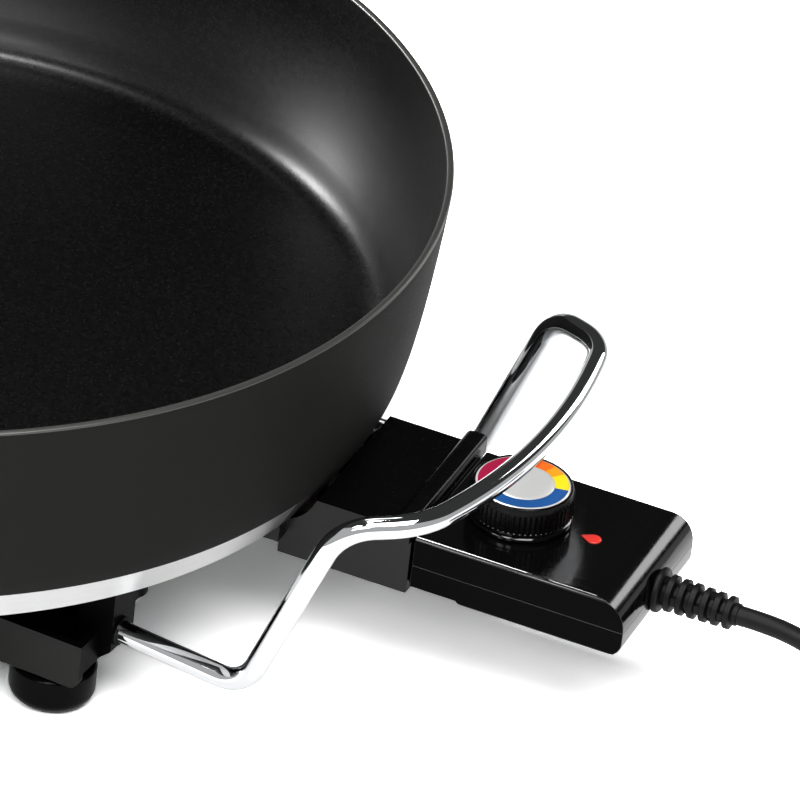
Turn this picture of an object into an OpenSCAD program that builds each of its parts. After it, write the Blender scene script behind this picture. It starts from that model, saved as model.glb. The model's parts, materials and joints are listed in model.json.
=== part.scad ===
// Electric skillet: a round die-cast pan on two foot rails, with two chromed wire handles
// and a plug-in temperature control on a mains lead.
// Millimetres, +Z up. The worktop is z = 0 and the control is on the +X side.
// The origin is the middle of the skillet's footprint, without its lead.

/* [Pan] */
// Outside diameter of the rim
pan_d = 400; // [370:5:440]
// Height of the rim above the worktop
rim_z = 141; // [130:1:160]
// Thickness of the side wall at the rim
wall_t = 2.6; // [2:0.2:4]
// How far the coated wall leans out from the bare band to the rim
wall_flare = 11.5; // [6:0.5:18]
// Height of the bare band round the base
band_h = 13.2; // [11:0.2:16]
// How far the bare band leans out from its lower edge to its upper edge
band_flare = 6.5; // [3:0.5:10]
// Height of the underside above the worktop
base_z = 55.5; // [52:0.5:62]
// Width of the rim round the underside
skirt_w = 11; // [8:0.5:14]
// Depth of the recess inside that rim
recess_h = 4.5; // [3:0.5:6]
// Thickness of the cooking floor
floor_t = 7; // [5:0.5:9]
// Radius of the corner inside the pan
corner_r = 10; // [7:1:20]

/* [Heater] */
// Diameter of the heating tube
element_d = 8.5; // [6.5:0.5:10]
// Radius of the ring that the heating tube makes
element_r = 118; // [100:1:128]
// Diameter of the terminal pins
pin_d = 5; // [4:0.5:6]
// Distance of the terminal pins from the hood's sides
pin_side = 12.2; // [11.8:0.1:14]
// Diameter of the sensing probe
probe_d = 8; // [6:0.5:9]
// Length of the probe beyond the nose of the control
probe_len = 76; // [50:1:80]

/* [Handles] */
// Diameter of the handle wire
rod_d = 8; // [6:0.5:9]
// Height at which the wire leaves its block
rod_z = 31.6; // [31:0.2:36]
// Distance of the low corners outside the rim
low_out = 0.1; // [-3:0.1:8]
// Half the distance between the low corners
low_y = 85.4; // [84:0.1:90]
// Distance of the upper corners outside the rim
top_out = 26.8; // [20:0.1:30]
// Half the distance between the upper corners
top_y = 81.1; // [80:0.1:86]
// Distance of the grip's corners outside the rim
grip_out = 51.1; // [46:0.1:56]
// Half the distance between the grip's corners
grip_y = 68.5; // [66:0.1:72]
// Height of the grip
grip_z = 106.8; // [98:0.2:112]
// Distance outside the rim at which the grip's two halves would meet without its bow
bow_out = 67.2; // [62:0.1:70]
// Radius of the low bends
low_bend = 14; // [12:0.5:18]
// Radius of the upper bends
top_bend = 19; // [15:0.5:22]
// Radius of the bends at the grip's corners
grip_bend = 24.5; // [18:0.5:26]
// Radius of the grip's bow
grip_bow = 250; // [180:5:250]
// Turn of the handles and rails about the pan's axis
frame_turn = -3.5; // [-4:0.5:4]

/* [Feet] */
// Diameter of a foot
foot_d = 30; // [26:1:34]
// Height of a foot
foot_h = 21; // [19:0.5:22]
// Distance of a foot from the middle along its rail
foot_x = 129; // [120:0.5:130]
// Distance of a rail from the pan's axis
rail_y = 86.5; // [84:0.5:90]
// Width of a rail
rail_w = 28; // [26:0.5:32]
// Height of a rail
rail_h = 12; // [10:0.5:14]
// Thickness of a rail's walls
rail_t = 3; // [2.5:0.1:3.6]
// Length of the block that carries a handle end
block_len = 13; // [12:0.5:18]
// Width of that block
block_w = 16; // [14:0.5:18]

/* [Hood] */
// Length of the terminal hood
hood_len = 48.2; // [44:0.2:54]
// Width of the hood
hood_w = 62.4; // [60:0.2:66]
// Height of the hood above the plug-in axis
hood_up = 12.7; // [12.2:0.1:13.5]
// Depth of the hood below the plug-in axis
hood_down = 12.5; // [12:0.1:14]
// Thickness of the hood's walls
hood_t = 2.5; // [2:0.1:2.8]
// Height of the rib along the mouth
rib_h = 3.2; // [2:0.2:4]
// Width of that rib
rib_w = 8; // [5:0.5:10]

/* [Control] */
// Width of the control
control_w = 64; // [62:0.5:70]
// Length of the control outside the hood
control_len = 78; // [74:0.5:90]
// Height of its top above the plug-in axis
control_up = 11.3; // [10.8:0.1:12]
// Depth of its underside below the plug-in axis
control_down = 10.4; // [9.8:0.1:11.4]
// Thickness of the housing's walls
shell_t = 2.2; // [1.8:0.1:2.4]
// Length of the round over the lead end
end_len = 14; // [8:0.5:18]
// Length of the nose inside the hood
nose_len = 36; // [33:0.5:37]
// Diameter of the knob
knob_d = 36.6; // [32:0.2:40]
// Height of the knob
knob_h = 13.2; // [11:0.2:16]
// Distance of the knob's axis from the mouth of the hood
knob_reach = 26.5; // [24:0.1:30]
// Number of ribs round the knob
knob_ribs = 60; // [36:1:72]
// Diameter of the knob's spindle
spindle_d = 6; // [5:0.5:7]

/* [Lead] */
// Diameter of the mains lead
cord_d = 7; // [6:0.5:7.5]
// Length of the strain relief outside the housing
relief_len = 29.7; // [24:0.1:36]
// Radius of the coil's outermost turn
coil_out_r = 48.75; // [47:0.05:52]
// Diameter of the plug's face
plug_d = 38; // [34:1:40]

/* [Fits] */
// Radial clearance of sliding and turning fits
run_fit = 0.08; // [0.05:0.01:0.1]
// Clearance of pieces that are seated in each other
seat_fit = 0.1; // [0.05:0.01:0.2]
// Clearance between the nose and the hood
nose_fit = 0.7; // [0.5:0.1:1]

/* [Hidden] */
$fn = 48;

// Heights and radii of the pan
rim_r = pan_d / 2;
band_r = rim_r - wall_flare;
base_r = band_r - band_flare;
band_z = base_z + band_h;
ceiling_z = base_z + recess_h;
floor_z = ceiling_z + floor_t;
skirt_r = base_r - skirt_w;
// How far the wall bellies out above the band, and how high that is
belly_out = 6.5;
belly_up = 11.3;
rim_round = 0.9;

// The plug-in axis, on which the probe, the pins and the lead lie
plug_z = base_z - 2;
pin_y = hood_w / 2 - pin_side;
boss_w = probe_d + 11;
boss_drop = probe_d / 2 + 3.5;
boss_gap = 0.3;
rib_half = element_d / 2 + 3.5;
bed_fit = 0.25;
element_bend = 20;
element_a = asin((pin_y + element_bend) / (element_r + element_bend));
element_leg_x = (element_r + element_bend) * cos(element_a);

// Hood
hood_tuck = 6.2;
hood_x0 = base_r - hood_tuck;
mouth_x = hood_x0 + hood_len;
hood_top = plug_z + hood_up;
hood_bottom = plug_z - hood_down;
hood_clear = 1;
hood_shelf_z = base_z - 0.7;
// Where the hood's top plate ends against the band
hood_top_x = base_r + (band_r - base_r) * (hood_top - base_z) / band_h + hood_clear;
tab_len = 17;
tab_w = 13.5;
tab_t = 6;
tab_y = pin_y + element_d / 2 + 1.2;
tab_screw_x = hood_x0 - 8;
tab_screw_y = tab_y + tab_w / 2;
insulator_d = pin_d + 4.5;
insulator_x0 = hood_x0 - 9;
insulator_x1 = hood_x0 + 7.7;
pin_x1 = mouth_x - 10;

// Fasteners: shank and head diameters, head heights
hood_screw = [4, 7.5, 2.6];
rail_screw = [5, 9, 3.4];
foot_screw = [4, 8, 3];
case_screw = [3, 5.6, 2.2];
rod_screw_d = 4;
screw_fit = 0.06;

// Corners of a handle from the pan's axis
low_x = rim_r + low_out;
top_x = rim_r + top_out;
grip_x = rim_r + grip_out;
bow_x = rim_r + bow_out;

// Rails, blocks and the handle ends in them
block_x0 = foot_x + 8;
block_x1 = block_x0 + block_len;
block_y = rail_y - 7.5;
rail_half = block_x0 + 8.7;
rail_top = foot_h + rail_h;
// The rail's walls also reach down over the necks of its feet
rail_skirt = 6;
rail_corner = 5;
lug_d = 14;
lug_y = block_y - block_w / 2 - lug_d / 2 + 0.5;
lug_x = block_x0 + block_len / 2;
lug_z = rail_top + 4;
rod_depth = 11;
rod_collar_d = rod_d + 2.6;
rod_collar = 1.2;
// Direction of the wire's low run, out of its block
low_corner = [low_x, -low_y, rod_z - 0.6];
rod_mouth = [block_x1, -block_y - 2.5, rod_z];
rod_dir = (low_corner - rod_mouth) / norm(low_corner - rod_mouth);
rod_end = rod_mouth - rod_dir * rod_depth;
rod_screw_x = block_x1 - 5;

// Control
body_x0 = mouth_x + 1.5;
body_x1 = body_x0 + control_len;
control_top = plug_z + control_up;
control_bottom = plug_z - control_down;
heel_r = 6;
edge_r = 2.2;
step_x = body_x0 + 17;
step_h = 1.8;
nose_x0 = mouth_x - nose_len;
nose_w = hood_w - 2 * hood_t - 2 * nose_fit;
nose_top = hood_top - hood_t - nose_fit;
nose_bottom = hood_bottom + hood_t + nose_fit;
knob_x = mouth_x + knob_reach;
lens_x = knob_x + knob_d / 2 + 9.5;
lens_r = 2.6;
lens_len = 7.4;
dial_d = knob_d - 3.8;
cap_d = dial_d * 0.66;
dial_t = 0.6;
knob_gap = 0.4;
// Screw posts of the housing: x and half spacing
case_posts = [[body_x1 - 14.5, 20], [body_x0 + 8, control_w / 2 - shell_t - 4.6]];
post_d = 7.4;
carrier_x0 = nose_x0 + shell_t + seat_fit;
carrier_x1 = mouth_x - 8;
contact_d = pin_d + 3.6;
probe_tip_x = nose_x0 - probe_len;
frame_x0 = body_x0 + 4;
frame_x1 = frame_x0 + 43;
frame_z = control_bottom + shell_t;
frame_t = 2;
frame_w = 18;
stack_len = 10;
leaf_t = 0.5;
stack_z = frame_z + frame_t;
leaf_low_z = stack_z + 2;
leaf_high_z = leaf_low_z + leaf_t + 3;
spindle_z = leaf_high_z + leaf_t + 0.3;
wire_d = 2.2;
push_rod_d = 3;

// Where the footprint ends on both sides, and the pan's axis from its middle
bow_a = atan((bow_x - grip_x) / grip_y);
handle_end = bow_x - grip_bow * (1 / cos(bow_a) - 1) + rod_d / 2;
pan_x = (handle_end - body_x1) / 2;

// Lead: strain relief, route, coil and plug
relief_end = body_x1 + relief_len;
relief_d0 = cord_d + 6;
relief_d1 = cord_d + 4.6;
relief_neck_d = cord_d + 3.6;
// How far the strain relief reaches into the housing, with its collar behind the round of the end
relief_in = shell_t + 5.4;
relief_collar = 2.4;
tie_t = 1.2;
tie_gap = 0.4;
tie_w = 8;
coil_z = tie_t + tie_gap + cord_d / 2;
coil_step = cord_d + 0.5;
turns_in = 2.5;
turns_out = 2.25;
turns_all = turns_in + 0.5 + turns_out;
coil_in_r = coil_out_r - coil_step * turns_in;
coil_end_r = coil_in_r + coil_step * turns_out;
coil_c = [436, coil_out_r];
// Hand-chosen points of the lead from the strain relief to the coil, in X and Z
cord_route = [
    [343, 53.5], [353, 52.5], [363, 49.5], [373, 44], [382, 37],
    [390, 29], [398, 21], [407, 13.5], [416, 8]
];
cord_points = concat(
    [[relief_end, 0, plug_z]],
    [for (p = cord_route) [p[0], 0, p[1]]],
    [[coil_c[0] - 1.7 * cord_d, 0, coil_z], [coil_c[0] - cord_d, 0, coil_z]]
);
plug_y = coil_c[1] + 58;
plug_axis_z = plug_d / 2;
tail_x = coil_c[0] + coil_end_r;
tail_z = coil_z + coil_step;
// Rise of the tail from the coil's upper layer to the plug, as shares of its length and height
tail_rise = [[0, 0], [0.15, 0.02], [0.35, 0.24], [0.5, 0.5], [0.65, 0.76], [0.85, 0.98], [1, 1]];
tail_y0 = coil_c[1] + cord_d;
tail_points = [
    for (s = tail_rise)
        [tail_x, tail_y0 + (plug_y - tail_y0) * s[0], tail_z + (plug_axis_z - tail_z) * s[1]]
];
plug_relief = 24;
plug_body_len = 36;
plug_pin_d = 4.8;
plug_pin_len = 19;
plug_pin_gap = 19;
// Root of a pin in the plug, and how far it shows before the pin's full size
plug_root_d = plug_pin_d - 0.8;
plug_root_len = 6;
plug_neck = 0.5;
pin_tip = 1.5;

// Curves
function arc(c, r, a0, a1, n = 6) =
    [for (i = [0:n]) let (a = a0 + (a1 - a0) * i / n) c + r * [cos(a), sin(a)]];
function bow(a, b, c, n = 10) =
    [for (i = [0:n]) let (t = i / n) (1 - t) * (1 - t) * a + 2 * t * (1 - t) * b + t * t * c];
function unit(v) = v / norm(v);
// A rectangle's outline with its four corners rounded
function rounded(x0, y0, x1, y1, r) = concat(
    arc([x1 - r, y0 + r], r, -90, 0, 4), arc([x1 - r, y1 - r], r, 0, 90, 4),
    arc([x0 + r, y1 - r], r, 90, 180, 4), arc([x0 + r, y0 + r], r, 180, 270, 4)
);

// The coil: in over the lower layer, up in half a turn, and out over the upper layer
function coil_radius(t) =
    t < turns_in ? coil_out_r - coil_step * t
    : t < turns_in + 0.5 ? coil_in_r - coil_step * (t - turns_in) * (1 - 2 * (t - turns_in))
    : coil_in_r + coil_step * (t - turns_in - 0.5);
function coil_height(t) = coil_z + coil_step * min(1, max(0, 2 * (t - turns_in)));
function coil_at(t) = [
    coil_c[0] + coil_radius(t) * cos(360 * t - 90),
    coil_c[1] + coil_radius(t) * sin(360 * t - 90),
    coil_height(t)
];
coil_rings = 24 * turns_all;
coil_turns = [for (i = [0:coil_rings]) coil_at(i / 24)];
coil_points = concat(
    [[coil_c[0] - cord_d, coil_c[1] - coil_out_r, coil_z]], coil_turns, [[tail_x, tail_y0, tail_z]]
);
coil_gap = min([
    for (i = [0:len(coil_turns) - 1])
        for (j = [i + 12:1:len(coil_turns) - 1]) norm(coil_turns[i] - coil_turns[j])
]) - cord_d;
echo(coil_least_gap = coil_gap);

// Everything is drawn about the pan's axis and shifted once
module on_axis() {
    translate([pan_x, 0, 0]) children();
}

module in_frame() {
    on_axis() rotate([0, 0, frame_turn]) children();
}

// A cylinder along +X
module along_x(x0, x1, d, y = 0, z = plug_z) {
    translate([x0, y, z]) rotate([0, 90, 0]) cylinder(d = d, h = x1 - x0);
}

// A side view in X and Z, drawn out by w across Y about y
module across(w, y = 0) {
    translate([0, y + w / 2, 0]) rotate([90, 0, 0]) linear_extrude(w) children();
}

module both_sides() {
    children();
    mirror([0, 1, 0]) children();
}

// A screw standing on z with its head below
module screw(size, length) {
    translate([0, 0, -size[2]]) cylinder(d = size[1], h = size[2]);
    translate([0, 0, -0.1]) cylinder(d = size[0], h = length + 0.1);
}

// A straight run of wire
module wire_run(a, b, d) {
    v = b - a;
    translate(a)
        rotate([0, acos(v[2] / norm(v)), atan2(v[1], v[0])])
            cylinder(d = d, h = norm(v));
}

// Points of a round bend of radius r from the run a-b into the run b-c
function bend(a, b, c, r, step) =
    let (
        u = unit(a - b),
        w = unit(c - b),
        open = acos(u * w),
        centre = b + unit(u + w) * r / sin(open / 2),
        ex = unit(b + u * r / tan(open / 2) - centre),
        n = max(ceil((180 - open) / step), ceil(r * (180 - open) * PI / 180 / 12))
    )
    [for (i = [0:n]) let (t = (180 - open) * i / n) centre + r * (cos(t) * ex - sin(t) * u)];

// Route through the corners p, rounded by the radii r
function route(p, r, step) = concat(
    [p[0]],
    [for (i = [1:len(p) - 2]) each bend(p[i - 1], p[i], p[i + 1], r[i - 1], step)],
    [p[len(p) - 1]]
);

// A tube of n sides swept along points, with rings square to the route
module swept_tube(p, d, n, side) {
    last = len(p) - 1;
    rings = [
        for (i = [0:last])
            let (
                t = unit(p[min(i + 1, last)] - p[max(i - 1, 0)]),
                u = unit(cross(side, t)),
                w = cross(t, u)
            )
            for (k = [0:n - 1]) p[i] + d / 2 * (cos(360 * k / n) * u + sin(360 * k / n) * w)
    ];
    walls = [
        for (i = [0:last - 1])
            for (k = [0:n - 1])
                let (a = i * n + k, b = i * n + (k + 1) % n)
                each [[a, a + n, b], [b, a + n, b + n]]
    ];
    caps = [
        for (k = [1:n - 2]) each [[0, k, k + 1], [last * n, last * n + k + 1, last * n + k]]
    ];
    polyhedron(points = rings, faces = concat(walls, caps));
}

// The pan's section: outer wall, rim, inner wall, floor, recess and band
module pan_section() {
    wall_out = bow(
        [band_r + 0.4, band_z], [band_r + belly_out, band_z + belly_up], [rim_r, rim_z - rim_round], 12
    );
    low_in = [band_r + belly_out - wall_t - 2.2, floor_z + corner_r];
    wall_in = bow(
        [rim_r - wall_t, rim_z - rim_round],
        [band_r + belly_out - wall_t + 0.2, band_z + belly_up + 14],
        low_in, 10
    );
    corner = bow(low_in, [low_in[0] - 1.5, floor_z], [low_in[0] - corner_r, floor_z], 8);
    polygon(concat(
        [[0, ceiling_z], [skirt_r, ceiling_z], [skirt_r + 2, base_z], [base_r - 0.6, base_z]],
        [[base_r, base_z + 0.6], [band_r, band_z]],
        wall_out,
        [[rim_r - rim_round, rim_z], [rim_r - wall_t + rim_round, rim_z]],
        wall_in,
        [for (i = [1:8]) corner[i]],
        [[0, floor_z]]
    ));
}

module pan_body() {
    boss_x0 = probe_tip_x - 4;
    color("#2b2b2b") on_axis() difference() {
        union() {
            rotate_extrude($fn = 96) pan_section();
            // Rib over the heating tube
            rotate([0, 0, element_a]) rotate_extrude(angle = 360 - 2 * element_a) difference() {
                translate([element_r - rib_half, plug_z]) square([2 * rib_half, ceiling_z - plug_z + 0.5]);
                translate([element_r, plug_z]) circle(d = element_d + 2 * bed_fit);
            }
            // Boss with the probe's well
            translate([boss_x0, -boss_w / 2, plug_z - boss_drop])
                cube([hood_x0 - boss_gap - boss_x0, boss_w, ceiling_z + 0.5 - plug_z + boss_drop]);
            // Bosses for the hood's screws and the rails' screws
            both_sides() translate([tab_screw_x, tab_screw_y, base_z]) cylinder(d = 11, h = recess_h + 0.5);
            rotate([0, 0, frame_turn]) for (a = [0, 180]) rotate([0, 0, a])
                both_sides() translate([lug_x, lug_y, base_z]) cylinder(d = lug_d, h = recess_h + 0.5);
        }
        // Way out through the skirt for the terminals
        both_sides() translate([skirt_r - 8, boss_w / 2 + 0.01, base_z - 1])
            cube([skirt_w + 12, tab_y - boss_w / 2 - 0.6, recess_h + 0.7]);
        along_x(probe_tip_x - 0.3, base_r + 5, probe_d + 2 * run_fit);
        both_sides() translate([tab_screw_x, tab_screw_y, base_z - 1])
            cylinder(d = hood_screw[0] + 2 * screw_fit, h = recess_h + 3);
        rotate([0, 0, frame_turn]) for (a = [0, 180]) rotate([0, 0, a])
            both_sides() translate([lug_x, lug_y, base_z - 1])
                cylinder(d = rail_screw[0] + 2 * screw_fit, h = recess_h + 4);
    }
}

// The heating tube: an open ring whose ends turn out towards the hood
module heating_element() {
    c = [element_leg_x, pin_y + element_bend];
    out = concat([[insulator_x0, pin_y]], arc(c, element_bend, -90, -180 + element_a, 6));
    ring = arc([0, 0], element_r, element_a, 360 - element_a, 72);
    back = [for (i = [len(out) - 1:-1:0]) [out[i][0], -out[i][1]]];
    flat = concat(out, [for (i = [1:71]) ring[i]], back);
    color("#6e6a66") on_axis()
        swept_tube([for (p = flat) [p[0], p[1], plug_z]], element_d, 10, [0, 0, 1]);
}

module terminal_pins() {
    tip = pin_d / 2;
    color("#c9ccd0") on_axis() both_sides() translate([insulator_x0, pin_y, plug_z]) rotate([0, 90, 0]) {
        cylinder(d = pin_d, h = pin_x1 - insulator_x0 - tip);
        translate([0, 0, pin_x1 - insulator_x0 - tip]) cylinder(d1 = pin_d, d2 = pin_d - 2.4, h = tip);
    }
}

module pin_insulators() {
    color("#e9e4d8") on_axis() both_sides() difference() {
        along_x(insulator_x0, insulator_x1, insulator_d, pin_y);
        along_x(insulator_x0 - 1, insulator_x1 + 1, pin_d + 2 * seat_fit, pin_y);
    }
}

// Side view of the hood, with a sweep that clears the pan's band
module hood_side() {
    sweep = bow(
        [hood_top_x, hood_top], [hood_top_x - 4.2, hood_shelf_z + 1], [hood_x0, hood_shelf_z], 8
    );
    polygon(concat(
        [[hood_x0, hood_bottom], [mouth_x, hood_bottom], [mouth_x, hood_top]], sweep
    ));
}

module hood() {
    ear = 2.4;
    rib_x0 = mouth_x - rib_w;
    rib_top = hood_top + rib_h;
    color("#1a1a1a") on_axis() difference() {
        union() {
            across(hood_w) hood_side();
            // Rib along the mouth, with an ear at both ends
            across(hood_w + 2 * ear) polygon(concat(
                [[rib_x0, hood_top - 4], [mouth_x, hood_top - 4]],
                arc([mouth_x - 1.6, rib_top - 1.6], 1.6, 0, 90, 4),
                arc([rib_x0 + 2.4, rib_top - 2.4], 2.4, 90, 180, 4)
            ));
            // Tabs under the pan
            both_sides() translate([hood_x0 - tab_len, tab_y, base_z - tab_t])
                cube([tab_len + hood_t, tab_w, tab_t]);
        }
        translate([hood_x0 + hood_t, -hood_w / 2 + hood_t, hood_bottom + hood_t])
            cube([hood_len, hood_w - 2 * hood_t, hood_up + hood_down - 2 * hood_t]);
        both_sides() along_x(hood_x0 - 1, hood_x0 + hood_t + 1, insulator_d + 2 * seat_fit, pin_y);
        along_x(hood_x0 - 1, hood_x0 + hood_t + 1, probe_d + 1.2);
        both_sides() translate([tab_screw_x, tab_screw_y, base_z - tab_t - 1])
            cylinder(d = hood_screw[0] + 2 * seat_fit, h = tab_t + 2);
    }
}

module hood_screws() {
    color("#b9bcc0") on_axis() both_sides()
        translate([tab_screw_x, tab_screw_y, base_z - tab_t]) screw(hood_screw, tab_t + recess_h);
}

// Section of a rail: two walls and the web that stands on the feet
rail_low = foot_h - rail_skirt;
module rail_section() {
    w = rail_w / 2;
    in = w - rail_t;
    polygon([
        [-w, rail_low + 0.8], [-w + 0.8, rail_low], [-in, rail_low], [-in, foot_h], [in, foot_h],
        [in, rail_low], [w - 0.8, rail_low], [w, rail_low + 0.8], [w, rail_top], [in, rail_top],
        [in, foot_h + rail_t], [-in, foot_h + rail_t], [-in, rail_top], [-w, rail_top]
    ]);
}

// One rail with its two blocks, on the -Y side of the frame
module foot_rail() {
    difference() {
        union() {
            // Channel, open above and below, with its lower end corners rounded
            intersection() {
                translate([-rail_half, -rail_y, 0]) rotate([90, 0, 90]) linear_extrude(2 * rail_half)
                    rail_section();
                across(rail_w + 2, -rail_y) polygon(concat(
                    [[-rail_half, rail_top + 1]],
                    arc([-rail_half + rail_corner, rail_low + rail_corner], rail_corner, 180, 270, 5),
                    arc([rail_half - rail_corner, rail_low + rail_corner], rail_corner, -90, 0, 5),
                    [[rail_half, rail_top + 1]]
                ));
            }
            for (s = [-1, 1]) scale_x(s) {
                // End wall of the channel
                translate([rail_half - rail_t, -rail_y - rail_w / 2 + 1, foot_h + 0.5])
                    cube([rail_t, rail_w - 2, rail_h - 0.5]);
                // Block with a sloping underside and a rounded outer top edge
                across(block_w, -block_y) polygon(concat(
                    [[block_x0, foot_h + 0.5], [rail_half, foot_h + 0.5]],
                    [[block_x1, foot_h + block_x1 - rail_half]],
                    arc([block_x1 - 3, base_z - 3], 3, 0, 90, 4),
                    [[block_x0, base_z]]
                ));
                // Collar round the wire
                wire_run(rod_mouth - rod_dir * 2, rod_mouth + rod_dir * rod_collar, rod_collar_d);
                // Screw lug on the inner side of the block
                translate([lug_x, -lug_y, lug_z]) cylinder(d = lug_d, h = base_z - lug_z);
                translate([lug_x - lug_d / 2 + 1, -lug_y - lug_d / 2, lug_z])
                    cube([lug_d - 2, lug_d / 2, base_z - lug_z]);
                // Boss over the foot
                translate([foot_x, -rail_y, foot_h + 0.5]) cylinder(d = 12, h = rail_h - 4);
            }
        }
        for (s = [-1, 1]) scale_x(s) {
            wire_run(rod_end - rod_dir * 0.2, rod_mouth + rod_dir * 5, rod_d + 2 * seat_fit);
            translate([lug_x, -lug_y, lug_z - 1])
                cylinder(d = rail_screw[0] + 2 * seat_fit, h = base_z - lug_z + 2);
            translate([foot_x, -rail_y, foot_h - 1])
                cylinder(d = foot_screw[0] + 2 * screw_fit, h = rail_h - 4);
            translate([rod_screw_x, rod_line_y(rod_screw_x), foot_h - 1])
                cylinder(d = rod_screw_d + 2 * screw_fit, h = rod_z - foot_h);
        }
    }
}

// Y of the wire's low run at x
function rod_line_y(x) = rod_mouth[1] + rod_dir[1] / rod_dir[0] * (x - rod_mouth[0]);

module scale_x(s) {
    if (s > 0) children();
    else mirror([1, 0, 0]) children();
}

module each_corner() {
    for (sx = [-1, 1]) for (sy = [-1, 1]) scale_x(sx) mirror([0, sy > 0 ? 1 : 0, 0]) children();
}

module foot_rail_front() {
    color("#161616") in_frame() foot_rail();
}

module foot_rail_rear() {
    color("#161616") in_frame() mirror([0, 1, 0]) foot_rail();
}

module rail_screws() {
    color("#b9bcc0") in_frame() each_corner()
        translate([lug_x, -lug_y, lug_z]) screw(rail_screw, base_z - lug_z + recess_h + 1);
}

module rod_screws() {
    top = rod_z - rod_d / 2 - 0.1;
    color("#8d9094") in_frame() each_corner()
        translate([rod_screw_x, rod_line_y(rod_screw_x), top - 5]) cylinder(d = rod_screw_d, h = 5);
}

// A foot with a rounded sole and a neck between the rail's walls, bored for its screw
module foot() {
    r = foot_d / 2;
    neck_r = rail_w / 2 - rail_t - 0.5;
    shoulder_z = rail_low - 0.6;
    well_d = foot_screw[1] + 2;
    sole_r = 5;
    rotate_extrude() polygon(concat(
        [[well_d / 2, 0]],
        arc([r - sole_r, sole_r], sole_r, -90, 0, 6),
        [[r, shoulder_z - 1], [r - 1, shoulder_z], [neck_r, shoulder_z], [neck_r, foot_h]],
        [[foot_screw[0] / 2 + seat_fit, foot_h], [foot_screw[0] / 2 + seat_fit, foot_h - 8]],
        [[well_d / 2, foot_h - 8]]
    ));
}

module foot_at(sx, sy) {
    color("#0f0f0f") in_frame() translate([sx * foot_x, sy * rail_y, 0]) foot();
}

module foot_front_right() { foot_at(1, -1); }
module foot_front_left() { foot_at(-1, -1); }
module foot_rear_right() { foot_at(1, 1); }
module foot_rear_left() { foot_at(-1, 1); }

module foot_screws() {
    color("#b9bcc0") in_frame() each_corner()
        translate([foot_x, -rail_y, foot_h - 8]) screw(foot_screw, 8 + rail_h - 6);
}

// Bent wire handle on the +X side
module wire_handle() {
    half = [rod_end, low_corner, [top_x, -top_y, grip_z - 3.9], [grip_x, -grip_y, grip_z]];
    other = [for (i = [3:-1:0]) [half[i][0], -half[i][1], half[i][2]]];
    corners = concat(half, [[bow_x, 0, grip_z - 3]], other);
    bends = [low_bend, top_bend, grip_bend, grip_bow, grip_bend, top_bend, low_bend];
    swept_tube(route(corners, bends, 9), rod_d, 16, [0.5, -0.6, -0.6]);
}

module handle_right() {
    color("#d8dadd") in_frame() wire_handle();
}

module handle_left() {
    color("#d8dadd") in_frame() rotate([0, 0, 180]) wire_handle();
}

// Side view of the control's body, drawn in by t for its inside
module control_side(t = 0) {
    x0 = body_x0 + t;
    x1 = body_x1 - t;
    top = control_top - t;
    low = control_bottom + t;
    r_heel = heel_r - t;
    polygon(concat(
        [[x0, low + step_h], [step_x + t, low + step_h], [step_x + t + 1.5, low]],
        arc([x1 - r_heel, low + r_heel], r_heel, -90, 0, 5),
        bow([x1, plug_z], [x1, top], [x1 - end_len, top], 8),
        [[x0, top]]
    ));
}

// The control as one solid, with rounded long edges and the nose
module control_solid(t = 0) {
    w = control_w / 2 - t;
    r = edge_r - t / 2;
    top = control_top - t;
    low = control_bottom + t;
    nose_half = nose_w / 2 - t;
    intersection() {
        across(2 * w) control_side(t);
        translate([body_x0 - 1, 0, 0]) rotate([90, 0, 90]) linear_extrude(control_len + 2)
            polygon(concat(
                [[-w, low + 1], [-w + 1, low], [w - 1, low], [w, low + 1]],
                arc([w - r, top - r], r, 0, 90, 4),
                arc([-w + r, top - r], r, 90, 180, 4)
            ));
    }
    translate([nose_x0 + t, -nose_half, nose_bottom + t])
        cube([body_x0 - nose_x0 + (t > 0 ? 2 : 1), 2 * nose_half, nose_top - nose_bottom - 2 * t]);
}

// The part of the housing on one side of the split, and the holes through both halves
module housing_half(z0, z1) {
    difference() {
        intersection() {
            control_solid();
            translate([nose_x0 - 1, -control_w, z0]) cube([body_x1 - nose_x0 + 2, 2 * control_w, z1 - z0]);
        }
        difference() {
            control_solid(shell_t);
            for (p = case_posts) both_sides() translate([p[0], p[1], z0 - 1])
                cylinder(d = post_d, h = z1 - z0 + 2);
        }
        both_sides() along_x(nose_x0 - 1, nose_x0 + shell_t + 1, pin_d + 2, pin_y);
        along_x(nose_x0 - 1, nose_x0 + shell_t + 1, probe_d + 2 * seat_fit);
        along_x(body_x1 - shell_t - 1, body_x1 + 1, relief_neck_d + 2 * seat_fit);
    }
}

// Outline of the pilot lens: a drop with its tip towards the knob
module drop(grow = 0) {
    r = lens_r + grow;
    tip = lens_len - lens_r + grow;
    reach = acos(r / tip);
    polygon(concat([[-tip, 0]], arc([0, 0], r, -180 + reach, 180 - reach, 16)));
}

module upper_housing() {
    color("#141414") on_axis() difference() {
        housing_half(plug_z, control_top + 1);
        translate([knob_x, 0, control_top - 6]) cylinder(d = spindle_d + 2 * run_fit, h = 8);
        translate([lens_x, 0, control_top - 6]) linear_extrude(8) drop(seat_fit);
        for (p = case_posts) both_sides() translate([p[0], p[1], plug_z - 1])
            cylinder(d = case_screw[0] + 2 * screw_fit, h = 7.5);
    }
}

module lower_housing() {
    color("#141414") on_axis() difference() {
        housing_half(control_bottom - 1, plug_z);
        for (p = case_posts) both_sides() translate([p[0], p[1], control_bottom - 1]) {
            cylinder(d = case_screw[0] + 2 * seat_fit, h = control_down + 2);
            cylinder(d = case_screw[1] + 0.6, h = 4.4);
        }
    }
}

module housing_screws() {
    z = control_bottom + 3.4;
    color("#b9bcc0") on_axis() for (p = case_posts) both_sides()
        translate([p[0], p[1], z]) screw(case_screw, plug_z + 6 - z);
}

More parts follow.
